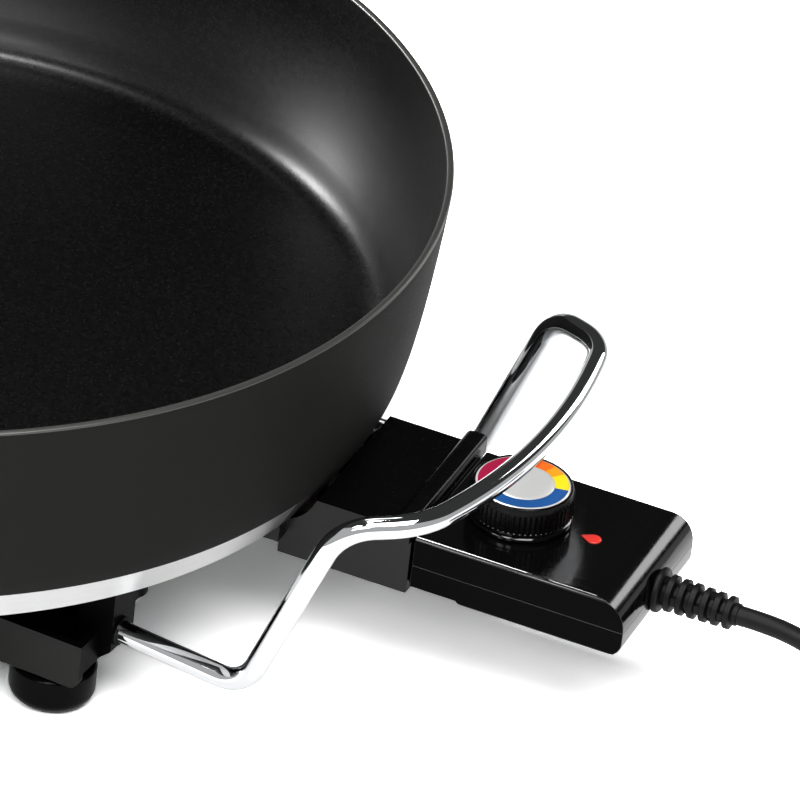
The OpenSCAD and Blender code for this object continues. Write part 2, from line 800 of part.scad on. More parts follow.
// Moulded block in the nose that carries the contacts and the probe
module contact_carrier() {
    t = shell_t + seat_fit;
    color("#cfc6b0") on_axis() difference() {
        translate([carrier_x0, -nose_w / 2 + t, nose_bottom + t])
            cube([carrier_x1 - carrier_x0, nose_w - 2 * t, nose_top - nose_bottom - 2 * t]);
        both_sides() along_x(carrier_x0 - 1, carrier_x1 + 1, contact_d + 2 * seat_fit, pin_y);
        along_x(carrier_x0 - 1, carrier_x1 + 1, probe_d + 2 * seat_fit);
    }
}

module socket_contacts() {
    color("#c8a24a") on_axis() both_sides() difference() {
        along_x(carrier_x0, carrier_x1, contact_d, pin_y);
        along_x(carrier_x0 - 1, carrier_x1 - 1.5, pin_d + 2 * run_fit, pin_y);
    }
}

module probe_tube() {
    color("#c9ccd0") on_axis() difference() {
        union() {
            along_x(probe_tip_x + 3, frame_x0 + frame_t, probe_d);
            translate([probe_tip_x, 0, plug_z]) rotate([0, 90, 0])
                cylinder(d1 = probe_d - 3, d2 = probe_d, h = 3.01);
        }
        along_x(probe_tip_x + 4, frame_x0 + frame_t + 1, push_rod_d + 4 * seat_fit);
    }
}

module push_rod() {
    color("#efe9da") on_axis() along_x(probe_tip_x + 4.1, frame_x0 + frame_t + 4, push_rod_d);
}

module thermostat_frame() {
    color("#a9adb2") on_axis() difference() {
        union() {
            translate([frame_x0, -frame_w / 2, frame_z + step_h])
                cube([step_x + 6.5 - frame_x0, frame_w, frame_t]);
            translate([step_x + 6.5 - frame_t, -frame_w / 2, frame_z])
                cube([frame_x1 - step_x - 6.5 + frame_t, frame_w, frame_t]);
            translate([step_x + 6.5 - frame_t, -frame_w / 2, frame_z])
                cube([frame_t, frame_w, frame_t + step_h]);
            translate([frame_x0, -frame_w / 2, frame_z + step_h])
                cube([frame_t, frame_w, plug_z + 7 - frame_z - step_h]);
        }
        along_x(frame_x0 - 1, frame_x0 + frame_t + 1, probe_d + 2 * seat_fit);
    }
}

module insulator_stack() {
    gaps = [
        [stack_z, leaf_low_z], [leaf_low_z + leaf_t, leaf_high_z],
        [leaf_high_z + leaf_t, leaf_high_z + leaf_t + 2]
    ];
    color("#efe9da") on_axis() for (g = gaps)
        translate([frame_x1 - stack_len, -frame_w / 2 + 1, g[0]]) cube([stack_len, frame_w - 2, g[1] - g[0]]);
}

// A leaf spring with a silver contact button at its free end
module leaf(x0, z, w, side) {
    translate([x0, -w / 2, z]) cube([frame_x1 - x0, w, leaf_t]);
    translate([x0 + 8, 0, side > 0 ? z + leaf_t : z - 1]) cylinder(d = 4, h = 1);
}

module contact_leaf_upper() {
    color("#b98a4a") on_axis() leaf(knob_x - spindle_d / 2 - 1, leaf_high_z, 9, -1);
}

module contact_leaf_lower() {
    color("#b98a4a") on_axis() leaf(knob_x - spindle_d / 2 - 1, leaf_low_z, 9, 1);
}

// Line and neutral to the contacts, earth to the frame
module lead_wires() {
    x1 = body_x1 - relief_in - 1;
    live = [
        [x1, 2.4, plug_z], [x1 - 12, 14, plug_z - 2], [carrier_x1 + 8, pin_y - 3, plug_z - 2],
        [carrier_x1 + 0.2, pin_y - 3, plug_z]
    ];
    earth = [[x1, 0, plug_z - 2.6], [x1 - 8, 0, frame_z + 1.6], [frame_x1 + 0.2, 0, frame_z + 1.2]];
    color("#7a4a2a") on_axis() {
        both_sides() swept_tube(route(live, [5, 5], 15), wire_d, 8, [0, 0, 1]);
        swept_tube(route(earth, [5], 15), wire_d, 8, [0, 1, 0]);
    }
}

module pilot_lamp() {
    z = control_top - 5 - 0.3 - 2.5;
    color("#e8b8a0") on_axis() along_x(lens_x - 5, lens_x + 5, 5, 0, z);
}

module pilot_lens() {
    color("#d8281c") on_axis() {
        translate([lens_x, 0, control_top - 5]) linear_extrude(5.4) drop();
    }
}

// Knob: plain foot ring, ribbed waist and a bevelled top with a recess for the dial
module knob() {
    z0 = control_top + knob_gap;
    r = knob_d / 2;
    waist_z = 3.4;
    top_z = knob_h - 2.6;
    color("#121212") on_axis() translate([knob_x, 0, z0]) difference() {
        union() {
            rotate_extrude() polygon([
                [0, 0], [r - 0.6, 0], [r, 0.6], [r, 1.8], [r - 0.9, 2.1], [r - 0.9, 2.7],
                [r - 0.3, 3], [r - 0.3, waist_z], [0, waist_z]
            ]);
            translate([0, 0, waist_z - 0.1]) linear_extrude(top_z - waist_z + 0.2) polygon([
                for (i = [0:2 * knob_ribs - 1])
                    (r - (i % 2) * 0.6) * [cos(180 * i / knob_ribs), sin(180 * i / knob_ribs)]
            ]);
            translate([0, 0, top_z]) rotate_extrude() polygon([
                [0, 0], [r - 0.5, 0], [r - 0.5, 0.6], [dial_d / 2 + 0.7, knob_h - top_z],
                [dial_d / 2 + seat_fit, knob_h - top_z], [dial_d / 2 + seat_fit, knob_h - top_z - dial_t],
                [0, knob_h - top_z - dial_t]
            ]);
        }
        translate([0, 0, -1]) cylinder(d = spindle_d + 2 * seat_fit, h = knob_h - 3);
    }
}

module dial_plate() {
    color("#2a55a5") on_axis() translate([knob_x, 0, control_top + knob_gap + knob_h - dial_t])
        difference() {
            cylinder(d = dial_d, h = dial_t);
            translate([0, 0, -1]) cylinder(d = cap_d + 2 * seat_fit, h = dial_t + 2);
        }
}

module dial_cap() {
    z = control_top + knob_gap + knob_h - dial_t;
    r = cap_d / 2;
    color("#d9d9d6") on_axis() translate([knob_x, 0, z]) rotate_extrude()
        polygon([[0, 0], [r, 0], [r, dial_t], [r - 0.5, dial_t + 0.25], [0, dial_t + 0.4]]);
}

module spindle() {
    top = control_top + knob_gap + knob_h - 4.2;
    color("#b9bcc0") on_axis() translate([knob_x, 0, spindle_z]) cylinder(d = spindle_d, h = top - spindle_z);
}

// Strain relief: collar in the wall, outer flange, and a taper cut by slots on alternate sides
module strain_relief() {
    slots = 5;
    pitch = (relief_len - 7) / slots;
    color("#1c1c1c") on_axis() translate([body_x1, 0, plug_z]) rotate([0, 90, 0]) difference() {
        union() {
            rotate_extrude() polygon([
                [0, -relief_in], [cord_d / 2 + 2.8, -relief_in],
                [cord_d / 2 + 2.8, -relief_in + relief_collar],
                [relief_neck_d / 2, -relief_in + relief_collar], [relief_neck_d / 2, 0.1],
                [relief_d0 / 2 + 1.5, 0.1], [relief_d0 / 2 + 1.5, 2.4], [relief_d0 / 2, 3],
                [relief_d1 / 2, relief_len - 0.8], [relief_d1 / 2 - 0.8, relief_len], [0, relief_len]
            ]);
        }
        for (i = [0:slots - 1]) rotate([0, 0, 90 * (i % 2)]) translate([0, 0, 4.6 + i * pitch]) both_sides()
            translate([-10, cord_d / 2 + 0.6, 0]) cube([20, 10, pitch * 0.55]);
    }
}

module cord() {
    color("#1a1a1a") on_axis() swept_tube(cord_points, cord_d, 10, [0, 1, 0]);
}

module cord_coil() {
    color("#1a1a1a") on_axis() swept_tube(coil_points, cord_d, 6, [0, 0, 1]);
}

module cord_tail() {
    color("#1a1a1a") on_axis() swept_tube(tail_points, cord_d, 10, [1, 0, 0]);
}

// Band round the coil's turns on the side towards the pan
module cord_tie() {
    in_x = coil_in_r - coil_step / 8 - cord_d / 2 - 2 * tie_gap;
    out_x = coil_radius(0.75) + cord_d / 2 + 2 * tie_gap;
    top = tail_z + cord_d / 2 + tie_gap;
    color("#2a2a2a") on_axis() across(tie_w, coil_c[1]) translate([coil_c[0] - out_x, 0]) difference() {
        polygon(rounded(-tie_t, 0, out_x - in_x + tie_t, top + tie_t, 2.5));
        polygon(rounded(0, tie_t, out_x - in_x, top, 1.3));
    }
}

// The plug lies with its axis along +Y
module at_plug() {
    on_axis() translate([tail_x, plug_y, plug_axis_z]) rotate([-90, 0, 0]) children();
}

module plug_body() {
    r = plug_d / 2;
    face = plug_relief + plug_body_len;
    color("#161616") at_plug() difference() {
        rotate_extrude() polygon(concat(
            [[0, 0], [cord_d / 2 + 1.4, 0], [cord_d / 2 + 2.6, plug_relief]],
            bow([r * 0.55, plug_relief + 1], [r * 0.62, face - 16], [r - 1, face - 12], 6),
            [[r, face - 11], [r, face - 1], [r - 1, face], [0, face]]
        ));
        for (s = [-1, 1]) translate([s * plug_pin_gap / 2, 0, face - plug_root_len])
            cylinder(d = plug_root_d + 2 * seat_fit, h = plug_root_len + 1);
        for (s = [-1, 1]) translate([-3 - seat_fit, s * (r - 1.2) - 2, face - 10])
            cube([6 + 2 * seat_fit, 4, 11]);
    }
}

module plug_pins() {
    face = plug_relief + plug_body_len;
    color("#c9ccd0") at_plug() for (s = [-1, 1]) translate([s * plug_pin_gap / 2, 0, face]) {
        translate([0, 0, -plug_root_len]) cylinder(d = plug_root_d, h = plug_root_len + plug_neck + 0.1);
        translate([0, 0, plug_neck]) cylinder(d = plug_pin_d, h = plug_pin_len - pin_tip - plug_neck);
        translate([0, 0, plug_pin_len - pin_tip])
            cylinder(d1 = plug_pin_d, d2 = plug_pin_d - 2, h = pin_tip);
    }
}

module plug_earth_clips() {
    r = plug_d / 2;
    face = plug_relief + plug_body_len;
    color("#c9ccd0") at_plug() for (s = [-1, 1])
        translate([-3, s * (r - 2.2) - 0.9, face - 10]) cube([6, 1.8, 10.4]);
}

pan_body();
heating_element();
terminal_pins();
pin_insulators();
hood();
hood_screws();
foot_rail_front();
foot_rail_rear();
rail_screws();
rod_screws();
foot_front_right();
foot_front_left();
foot_rear_right();
foot_rear_left();
foot_screws();
handle_right();
handle_left();
upper_housing();
lower_housing();
housing_screws();
contact_carrier();
socket_contacts();
probe_tube();
push_rod();
thermostat_frame();
insulator_stack();
contact_leaf_upper();
contact_leaf_lower();
lead_wires();
pilot_lamp();
pilot_lens();
knob();
dial_plate();
dial_cap();
spindle();
strain_relief();
cord();
cord_coil();
cord_tail();
cord_tie();
plug_body();
plug_pins();
plug_earth_clips();
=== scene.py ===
import json
import math

import bpy
from mathutils import Matrix, Vector

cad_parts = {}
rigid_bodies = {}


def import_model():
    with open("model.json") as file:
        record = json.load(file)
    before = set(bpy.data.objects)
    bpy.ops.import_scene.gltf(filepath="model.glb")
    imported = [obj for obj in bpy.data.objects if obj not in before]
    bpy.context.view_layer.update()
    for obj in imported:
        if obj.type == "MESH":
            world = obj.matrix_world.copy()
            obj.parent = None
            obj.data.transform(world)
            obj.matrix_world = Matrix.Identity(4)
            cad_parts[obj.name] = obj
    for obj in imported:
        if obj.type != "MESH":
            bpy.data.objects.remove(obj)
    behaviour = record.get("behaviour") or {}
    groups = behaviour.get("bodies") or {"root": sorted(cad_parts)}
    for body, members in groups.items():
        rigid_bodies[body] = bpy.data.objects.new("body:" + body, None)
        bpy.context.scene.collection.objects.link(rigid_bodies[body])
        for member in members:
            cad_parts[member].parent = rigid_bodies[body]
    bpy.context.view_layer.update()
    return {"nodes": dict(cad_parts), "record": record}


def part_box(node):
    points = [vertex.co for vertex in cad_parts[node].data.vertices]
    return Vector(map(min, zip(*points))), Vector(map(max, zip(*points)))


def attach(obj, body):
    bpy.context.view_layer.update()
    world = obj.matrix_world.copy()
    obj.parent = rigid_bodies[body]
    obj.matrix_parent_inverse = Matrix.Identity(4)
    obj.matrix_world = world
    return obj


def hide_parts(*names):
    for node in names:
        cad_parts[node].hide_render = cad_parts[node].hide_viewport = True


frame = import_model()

# Looks of a round electric skillet: a coated pan on two foot rails, wire handles and a plug-in control.
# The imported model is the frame: main sizes come from its nodes' boxes, finer ones are properties.
# Lengths are metres in the row frame. "Pan frame" means the same axes about the pan's own axis.

bl_info = {
    "name": "Electric skillet",
    "version": (1, 0, 0),
    "blender": (4, 5, 0),
    "location": "3D View > Sidebar > Skillet",
    "description": "Models, finishes and stages the visible pieces of a round electric skillet",
    "category": "Add Mesh",
}

MM = 0.001
NODES = frame["nodes"]
RECORD = frame["record"]
BODY_OF = {node: body for body, nodes in RECORD["behaviour"]["bodies"].items() for node in nodes}
SLOT_OF = {part["node"]: part["material_slot"] for part in RECORD["subparts"]}

PAN_LOW, PAN_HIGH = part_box("pan_body")
AXIS_X = (PAN_LOW.x + PAN_HIGH.x) / 2
RIM_R = (PAN_HIGH.x - PAN_LOW.x) / 2
RIM_Z = PAN_HIGH.z
KNOB_LOW, KNOB_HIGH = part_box("knob")
KNOB_AXIS = Vector(((KNOB_LOW.x + KNOB_HIGH.x) / 2, 0.0, 0.0))

# Softboxes: name, azimuth from +X and elevation in degrees, distance, width, height, power
SOFTBOXES = (
    ("key_softbox", -60, 60, 2.1, 1.5, 1.2, 44),
    ("top_softbox", 170, 76, 1.7, 0.3, 0.2, 14),
    ("fill_softbox", -120, 52, 1.8, 0.4, 0.3, 3),
    ("front_softbox", -92, 38, 1.9, 0.8, 0.35, 9),
    ("left_low", 181, 21, 1.5, 0.24, 0.35, 24),
    ("left_rear", 159, 13, 1.5, 0.5, 0.3, 6),
    ("rear_high", 128, 54, 1.5, 0.4, 0.24, 1.2),
    ("rear_softbox", 62, 27, 1.6, 0.4, 0.6, 4.4),
)
# Sectors of the printed dial: first angle in degrees about the knob's axis, colour property
DIAL_SECTORS = (
    (-180, "dial_crimson"), (-146, "dial_blue"), (12.4, "dial_yellow"), (49, "dial_amber"),
    (68, "dial_orange"), (87, "dial_red"), (122, "dial_crimson"),
)
# Points of the lead between the strain relief and its coil: X and Z in the pan frame, millimetres
LEAD_ROUTE = (
    (343, 53.5), (353, 52.5), (363, 49.5), (373, 44), (382, 37), (390, 29), (398, 21), (407, 13.5), (416, 8),
)
# Rise of the lead's tail to the plug: share of its way, share of its height
TAIL_RISE = ((0, 0), (0.15, 0.02), (0.35, 0.24), (0.5, 0.5), (0.65, 0.76), (0.85, 0.98), (1, 1))
# Points closer than this are one
WELD = 0.002 * MM
# Point that the softboxes face
AIM = Vector((0.1, 0, 0.05))


def linear(code):
    """An sRGB hex colour as linear RGB."""
    parts = [int(code[i:i + 2], 16) / 255 for i in (1, 3, 5)]
    return tuple(c / 12.92 if c <= 0.04045 else ((c + 0.055) / 1.055) ** 2.4 for c in parts)


def length(name, millimetres, description):
    """A length property; its default is given in millimetres."""
    return bpy.props.FloatProperty(
        name=name, description=description, default=millimetres * MM, precision=4, unit="LENGTH", subtype="DISTANCE")


def angle(name, degrees, description):
    """An angle property; its default is given in degrees."""
    return bpy.props.FloatProperty(
        name=name, description=description, default=math.radians(degrees), unit="ROTATION", subtype="ANGLE")


def colour(name, code, description):
    """A colour property; its default is given as sRGB hex."""
    return bpy.props.FloatVectorProperty(
        name=name, description=description, default=linear(code), size=3, min=0.0, max=1.0, subtype="COLOR")


def amount(name, value, description):
    """A plain number property."""
    return bpy.props.FloatProperty(name=name, description=description, default=value)


class SkilletPan(bpy.types.PropertyGroup):
    """Sizes of the pan and its heater"""
    wall: length("Wall", 2.6, "Thickness of the side wall at the rim")
    wall_flare: length("Wall flare", 11.5, "How far the coated wall leans out above the band")
    band_height: length("Band height", 13.2, "Height of the bare band round the base")
    band_flare: length("Band flare", 6.5, "How far the bare band leans out")
    paint_step: length("Paint step", 0.4, "Step of the painted wall over the band")
    base_height: length("Base height", 55.5, "Height of the underside above the worktop")
    base_round: length("Base round", 0.6, "Rounding of the base's edge")
    skirt: length("Skirt", 11, "Width of the rim round the underside")
    skirt_slope: length("Skirt slope", 2, "How far that rim's inside leans out")
    recess: length("Recess", 4.5, "Depth of the recess inside that rim")
    floor: length("Floor", 5, "Thickness of the cooking floor")
    corner: length("Corner", 14, "Radius of the corner inside the pan")
    corner_draw: length("Corner draw", 4, "How far that corner is drawn inwards")
    belly_out: length("Belly out", 6.5, "How far the wall bellies out")
    belly_up: length("Belly up", 11.3, "Height of that belly above the band")
    belly_lift: length("Belly lift", 12, "How much higher the belly is inside")
    toe_in: length("Toe in", 4.6, "Distance of the inner wall's foot from that belly")
    toe_up: length("Toe up", 12, "Height of that foot above the floor")
    rim_round: length("Rim round", 0.9, "Rounding of the rim's edges")
    # Painted shade: width past the hood's rear side over which the band is left dark
    hood_shade_margin: length("Hood margin", 4, "How far the paint on the band runs past the hood's rear side")
    plug_drop: length("Plug drop", 2, "Distance of the heater's and the probe's middle below the underside")
    tube: length("Heating tube", 8.5, "Diameter of the heating tube")
    tube_play: length("Tube play", 0.25, "Room round the heating tube in its rib")
    tube_bend: length("Tube bend", 20, "Radius of the bends at the tube's ends")
    tube_end: length("Tube end", 166.8, "Distance of the tube's ends from the pan's axis")
    ring: length("Heating ring", 118, "Radius of the ring that the heating tube makes")
    rib_side: length("Rib side", 3.5, "Metal on each side of the heating tube")
    pin_side: length("Pin side", 19, "Distance of a terminal pin from the middle")
    probe: length("Probe", 8.16, "Diameter of the probe's well")
    well_end: length("Well end", 111.7, "Distance of the well's end from the pan's axis")
    well_mouth: length("Well mouth", 190, "Distance to which the well's way is open")
    boss_in: length("Boss in", 108, "Distance of the probe's boss from the pan's axis")
    boss_out: length("Boss out", 175.5, "Distance of that boss's outer end")
    boss_side: length("Boss side", 9.5, "Half the width of that boss")
    boss_drop: length("Boss drop", 7.5, "How far that boss reaches below the probe's middle")
    boss_round: length("Boss round", 1.2, "Rounding of that boss")
    hood_boss: length("Hood boss", 11, "Diameter of the bosses for the hood's screws")
    hood_boss_x: length("Hood boss X", 167.8, "Distance of those bosses from the pan's axis, towards the control")
    hood_boss_y: length("Hood boss Y", 31.2, "Distance of those bosses from the middle, sideways")
    rail_boss: length("Rail boss", 14, "Diameter of the bosses for the rails' screws")
    rail_boss_x: length("Rail boss X", 143.5, "Distance of those bosses from the pan's axis, along the rails")
    rail_boss_y: length("Rail boss Y", 64.5, "Distance of those bosses from the pan's axis, across the rails")
    sink: length("Sink", 0.2, "How far ribs and bosses reach into the pan's floor")
    steps: bpy.props.IntProperty(name="Steps", description="Steps round the pan", default=216, min=48)


class SkilletHandle(bpy.types.PropertyGroup):
    """Sizes of a wire handle"""
    wire: length("Wire", 8, "Diameter of the wire")
    turn: angle("Turn", -3.5, "Turn of handles and rails about the pan's axis")
    rod_height: length("Rod height", 31.6, "Height at which the wire leaves its block")
    rod_depth: length("Rod depth", 11, "Length of the wire inside its block")
    grip_height: length("Grip height", 106.8, "Height of the grip")
    mouth_out: length("Mouth out", 150, "Distance of the block's face from the pan's axis")
    mouth_side: length("Mouth side", 81.5, "Distance of the wire from the middle at that face")
    low_out: length("Low out", 0.1, "Distance of the low corners outside the rim")
    low_side: length("Low side", 85.4, "Distance of the low corners from the middle")
    low_drop: length("Low drop", 0.6, "How far the low corners lie below the blocks' holes")
    top_out: length("Top out", 26.8, "Distance of the upper corners outside the rim")
    top_side: length("Top side", 81.1, "Distance of the upper corners from the middle")
    top_drop: length("Top drop", 3.9, "How far the upper corners lie below the grip")
    grip_out: length("Grip out", 51.1, "Distance of the grip's corners outside the rim")
    grip_side: length("Grip side", 68.5, "Distance of the grip's corners from the middle")
    bow_out: length("Bow out", 66.9, "Distance outside the rim at which the grip's halves would meet")
    bow_drop: length("Bow drop", 3, "How far that meeting point lies below the grip's corners")
    low_bend: length("Low bend", 14, "Radius of the low corners")
    top_bend: length("Top bend", 19, "Radius of the upper corners")
    grip_bend: length("Grip bend", 24.5, "Radius of the grip's corners")
    bow_bend: length("Bow bend", 250, "Radius of the grip's bow")


class SkilletKnob(bpy.types.PropertyGroup):
    """Sizes of the knob and its dial"""
    ribs: bpy.props.IntProperty(name="Ribs", description="Ribs round the knob", default=60, min=12)
    rib_depth: length("Rib depth", 0.6, "Depth of the grooves between the ribs")
    waist_low: length("Waist low", 3.4, "Height at which the ribs start")
    bevel: length("Bevel", 2.6, "Height of the bevel over the ribs")
    ledge: length("Ledge", 0.5, "Step in from the ribs to that bevel")
    bore: length("Bore", 3.1, "Radius of the hole for the spindle")
    edge: length("Edge", 0.3, "Rounding of the foot ring and the top edge")
    dial_gap: length("Dial margin", 1.9, "Distance of the dial from the knob's outside")
    dial: length("Dial", 0.6, "Thickness of the dial")
    bezel: length("Bezel", 0.7, "Width of the bright edge round the dial")
    bezel_drop: length("Bezel drop", 0.35, "How far that edge slopes down")
    fine: length("Fine", 0.1, "Gaps, and the steps of the finest edges")


class SkilletLead(bpy.types.PropertyGroup):
    """Sizes of the mains lead and its strain relief"""
    diameter: length("Diameter", 7, "Diameter of the lead")
    exit_height: length("Exit height", 53.5, "Height at which the lead leaves its strain relief")
    coil_radius: length("Coil radius", 48.75, "Radius of the coil's outermost turn")
    coil_step: length("Coil step", 7.5, "Distance of the coil's turns")
    coil_height: length("Coil height", 5.1, "Height of the coil's lower layer")
    coil_x: length("Coil distance", 436, "Distance of the coil's middle from the pan's axis")
    turns_in: amount("Turns in", 2.5, "Turns of the lower layer, which runs inwards")
    turns_out: amount("Turns out", 2.25, "Turns of the upper layer, which runs outwards")
    landing: length("Landing", 11.9, "Distance before the coil's middle at which the lead lies down")
    landed: length("Landed", 4, "Distance before the coil's middle at which it still runs straight")
    tail_start: length("Tail start", 7, "Distance past the coil's middle at which the tail starts")
    core: length("Core", 0.5, "Thickness of the relief's core round the lead")
    collar: length("Collar", 2.4, "Length of the relief's collar")
    collar_edge: length("Collar edge", 0.3, "Rounding of the collar and the rings")
    rings: bpy.props.IntProperty(name="Rings", description="Rings of the relief", default=6, min=2)
    ring_start: length("Ring start", 4, "Distance of the first ring from the housing")
    ring_drop: length("Ring drop", 1.4, "How much smaller the first ring is than the collar, in radius")
    ring_taper: length("Ring taper", 0.15, "How much smaller each next ring is")
    bridge_start: length("Bridge start", 2, "Distance of the first bridge from the housing")
    bridge: length("Bridge", 2.4, "Length of a bridge across the gap between two rings")
    bridge_long: length("Bridge long", 5.2, "Reach of a bridge from the lead's middle")
    bridge_short: length("Bridge short", 1.6, "Half the width of a bridge")


class SkilletColours(bpy.types.PropertyGroup):
    """Colours of the finishes"""
    nonstick: colour("Non-stick", "#020202", "Coating inside the pan")
    fleck: colour("Fleck", "#141413", "Mineral flecks in the coating")
    wall_paint: colour("Wall paint", "#191918", "Paint outside the pan")
    aluminium: colour("Aluminium", "#e2e2e2", "Bare turned aluminium")
    rim: colour("Rim", "#5a5a58", "Edge of the rim")
    rail: colour("Rail", "#171716", "Outer face of the foot rails")
    phenolic: colour("Phenolic", "#040404", "Moulded hood, housing and rails")
    rubber: colour("Lead", "#0b0b0b", "Lead, its tie and its plug")
    relief: colour("Relief", "#070707", "Strain relief")
    chrome: colour("Chrome", "#e4e6e8", "Plated wire")
    steel: colour("Steel", "#b4b7ba", "Zinc and nickel plated steel")
    # Painted shade: the insulators' brown glaze is darkened to near black for the shade they sit in inside the hood
    glaze: colour("Glaze", "#1a1411", "Brown glaze of the insulators")
    lens: colour("Lens", "#e0382f", "Pilot lens")
    silver: colour("Silver", "#d6d6d4", "Middle of the dial")
    dial_blue: colour("Blue", "#1f4f8c", "Dial, low range")
    dial_yellow: colour("Yellow", "#f7d021", "Dial")
    dial_amber: colour("Amber", "#f29a1f", "Dial")
    dial_orange: colour("Orange", "#ea6a1c", "Dial")
    dial_red: colour("Red", "#d63a26", "Dial")
    dial_crimson: colour("Crimson", "#8c1638", "Dial, high range")
    paper: colour("Paper", "#f6f6f6", "Floor")


class SkilletStage(bpy.types.PropertyGroup):
    """Camera and light"""
    location: bpy.props.FloatVectorProperty(
        name="Camera", description="Camera's place in the pan frame", default=(0.9702, -2.1126, 1.5303),
        unit="LENGTH", subtype="TRANSLATION")
    azimuth: angle("Azimuth", 19.97, "Turn of the view about the upright axis")
    elevation: angle("Elevation", 32.56, "Height of the view above the horizon")
    roll: angle("Roll", 6.76, "Roll of the camera")
    lens: amount("Lens", 351.5, "Focal length in millimetres")
    sensor: amount("Sensor", 36, "Width of the sensor in millimetres")
    floor: amount("Floor", 12, "Width of the paper floor in metres")
    floor_drop: length("Floor drop", 0.3, "How far the paper lies under the feet")
    cove: angle("Cove", 33, "Elevation at which the white cove ends at the sides, under the dark ceiling")
    cove_tilt: amount("Cove tilt", 0.4, "How much lower it ends behind")
    cove_light: amount("Cove light", 0.25, "Light of the cove")
    ceiling: amount("Ceiling", 0.04, "Light of the dark ceiling")
    gain: amount("Gain", 2.2, "Exposure of the lit floor for the camera")
    mirror_floor: amount("Mirrored floor", 0.06, "Share of that exposure in what mirrors the floor")
    mirror_cove: amount("Mirrored cove", 0.5, "Light of the cove in what mirrors it")


def at(x, y, z):
    """A point of the pan frame in the row frame."""
    return Vector((x + AXIS_X, y, z))


def bow(a, b, c, steps):
    """Points of a curve from a to c that is drawn towards b."""
    a, b, c = Vector(a), Vector(b), Vector(c)
    return [a.lerp(b, t).lerp(b.lerp(c, t), t) for t in (i / steps for i in range(steps + 1))]


def arc(centre, radius, first, last, steps):
    """Points of an arc in a plane, between two angles in degrees."""
    turns = [math.radians(first + (last - first) * i / steps) for i in range(steps + 1)]
    return [Vector((centre[0] + radius * math.cos(t), centre[1] + radius * math.sin(t))) for t in turns]


def bend(a, b, c, radius, steps):
    """Points of a round bend from the run a-b into the run b-c."""
    u, w = (a - b).normalized(), (c - b).normalized()
    half = u.angle(w) / 2
    centre = b + (u + w).normalized() * radius / math.sin(half)
    first = (b + u * radius / math.tan(half) - centre).normalized()
    turns = [(math.pi - 2 * half) * i / steps for i in range(steps + 1)]
    return [centre + radius * (math.cos(t) * first - math.sin(t) * u) for t in turns]


def choose(piece=None):
    """Leaves edit mode, deselects everything, and makes a piece the active one."""
    if bpy.context.object and bpy.context.object.mode != "OBJECT":
        bpy.ops.object.mode_set(mode="OBJECT")
    bpy.ops.object.select_all(action="DESELECT")
    if piece:
        piece.select_set(True)
        bpy.context.view_layer.objects.active = piece


def edit(piece):
    """Opens a piece in edit mode with all of it selected."""
    choose(piece)
    bpy.ops.object.mode_set(mode="EDIT")
    bpy.ops.mesh.select_all(action="SELECT")


def tidy(piece, smooth=30):
    """Merges doubled points, turns the normals out and smooths the faces up to an angle in degrees."""
    edit(piece)
    bpy.ops.mesh.remove_doubles(threshold=WELD)
    bpy.ops.mesh.normals_make_consistent(inside=False)
    choose(piece)
    bpy.ops.object.shade_smooth_by_angle(angle=math.radians(smooth))
    return piece


def chain(name, points):
    """A new mesh of edges through points, drawn out one by one; it stays in edit mode."""
    choose()
    bpy.ops.mesh.primitive_plane_add(size=1)
    piece = bpy.context.object
    piece.name = piece.data.name = name
    edit(piece)
    bpy.ops.mesh.merge(type="CENTER")
    bpy.ops.transform.translate(value=points[0])
    for a, b in zip(points, points[1:]):
        bpy.ops.mesh.extrude_region_move(TRANSFORM_OT_translate={"value": b - a})
    bpy.ops.mesh.select_all(action="SELECT")
    return piece


def lathe(name, profile, axis, steps, smooth=30, start=0.0, turn=2 * math.pi, filled=False):
    """Spins a profile of radius and height about an upright axis, counter-clockwise from start."""
    out = Vector((math.cos(start), math.sin(start), 0.0))
    piece = chain(name, [axis + out * r + Vector((0.0, 0.0, z)) for r, z in profile])
    if filled:
        bpy.ops.mesh.edge_face_add()
    bpy.ops.mesh.spin(steps=steps, angle=-turn, center=axis, axis=(0, 0, 1))
    return tidy(piece, smooth)


def wire(name, points, diameter, sides=5):
    """A round curve of one open spline through points."""
    shape = bpy.data.curves.new(name, "CURVE")
    shape.dimensions = "3D"
    shape.bevel_depth = diameter / 2
    shape.bevel_resolution = sides
    shape.resolution_u = 4
    shape.use_fill_caps = True
    spline = shape.splines.new("BEZIER")
    spline.bezier_points.add(len(points) - 1)
    for knot, point in zip(spline.bezier_points, points):
        knot.co = point
        knot.handle_left_type = knot.handle_right_type = "AUTO"
    piece = bpy.data.objects.new(name, shape)
    bpy.context.scene.collection.objects.link(piece)
    return piece


def tube(name, points, diameter, sides=5):
    """A round tube along points, as a mesh."""
    piece = wire(name, points, diameter, sides)
    choose(piece)
    bpy.ops.object.convert(target="MESH")
    return tidy(bpy.context.object, 50)


def modify(piece, kind, **settings):
    """Adds a modifier to a piece and applies it."""
    choose(piece)
    bpy.ops.object.modifier_add(type=kind)
    modifier = piece.modifiers[-1]
    for name, value in settings.items():
        setattr(modifier, name, value)
    bpy.ops.object.modifier_apply(modifier=modifier.name)


def combine(piece, operation, *tools):
    """Cuts tools out of a piece (DIFFERENCE) or joins them to it (UNION), and deletes them."""
    for tool in tools:
        modify(piece, "BOOLEAN", operation=operation, object=tool, solver="EXACT")
        choose(tool)
        bpy.ops.object.delete()


def box(name, low, high):
    """A box between two corners."""
    choose()
    bpy.ops.mesh.primitive_cube_add(size=1, location=(low + high) / 2)
    piece = bpy.context.object
    piece.name = piece.data.name = name
    piece.scale = high - low
    bpy.ops.object.transform_apply(location=True, rotation=True, scale=True)
    return piece


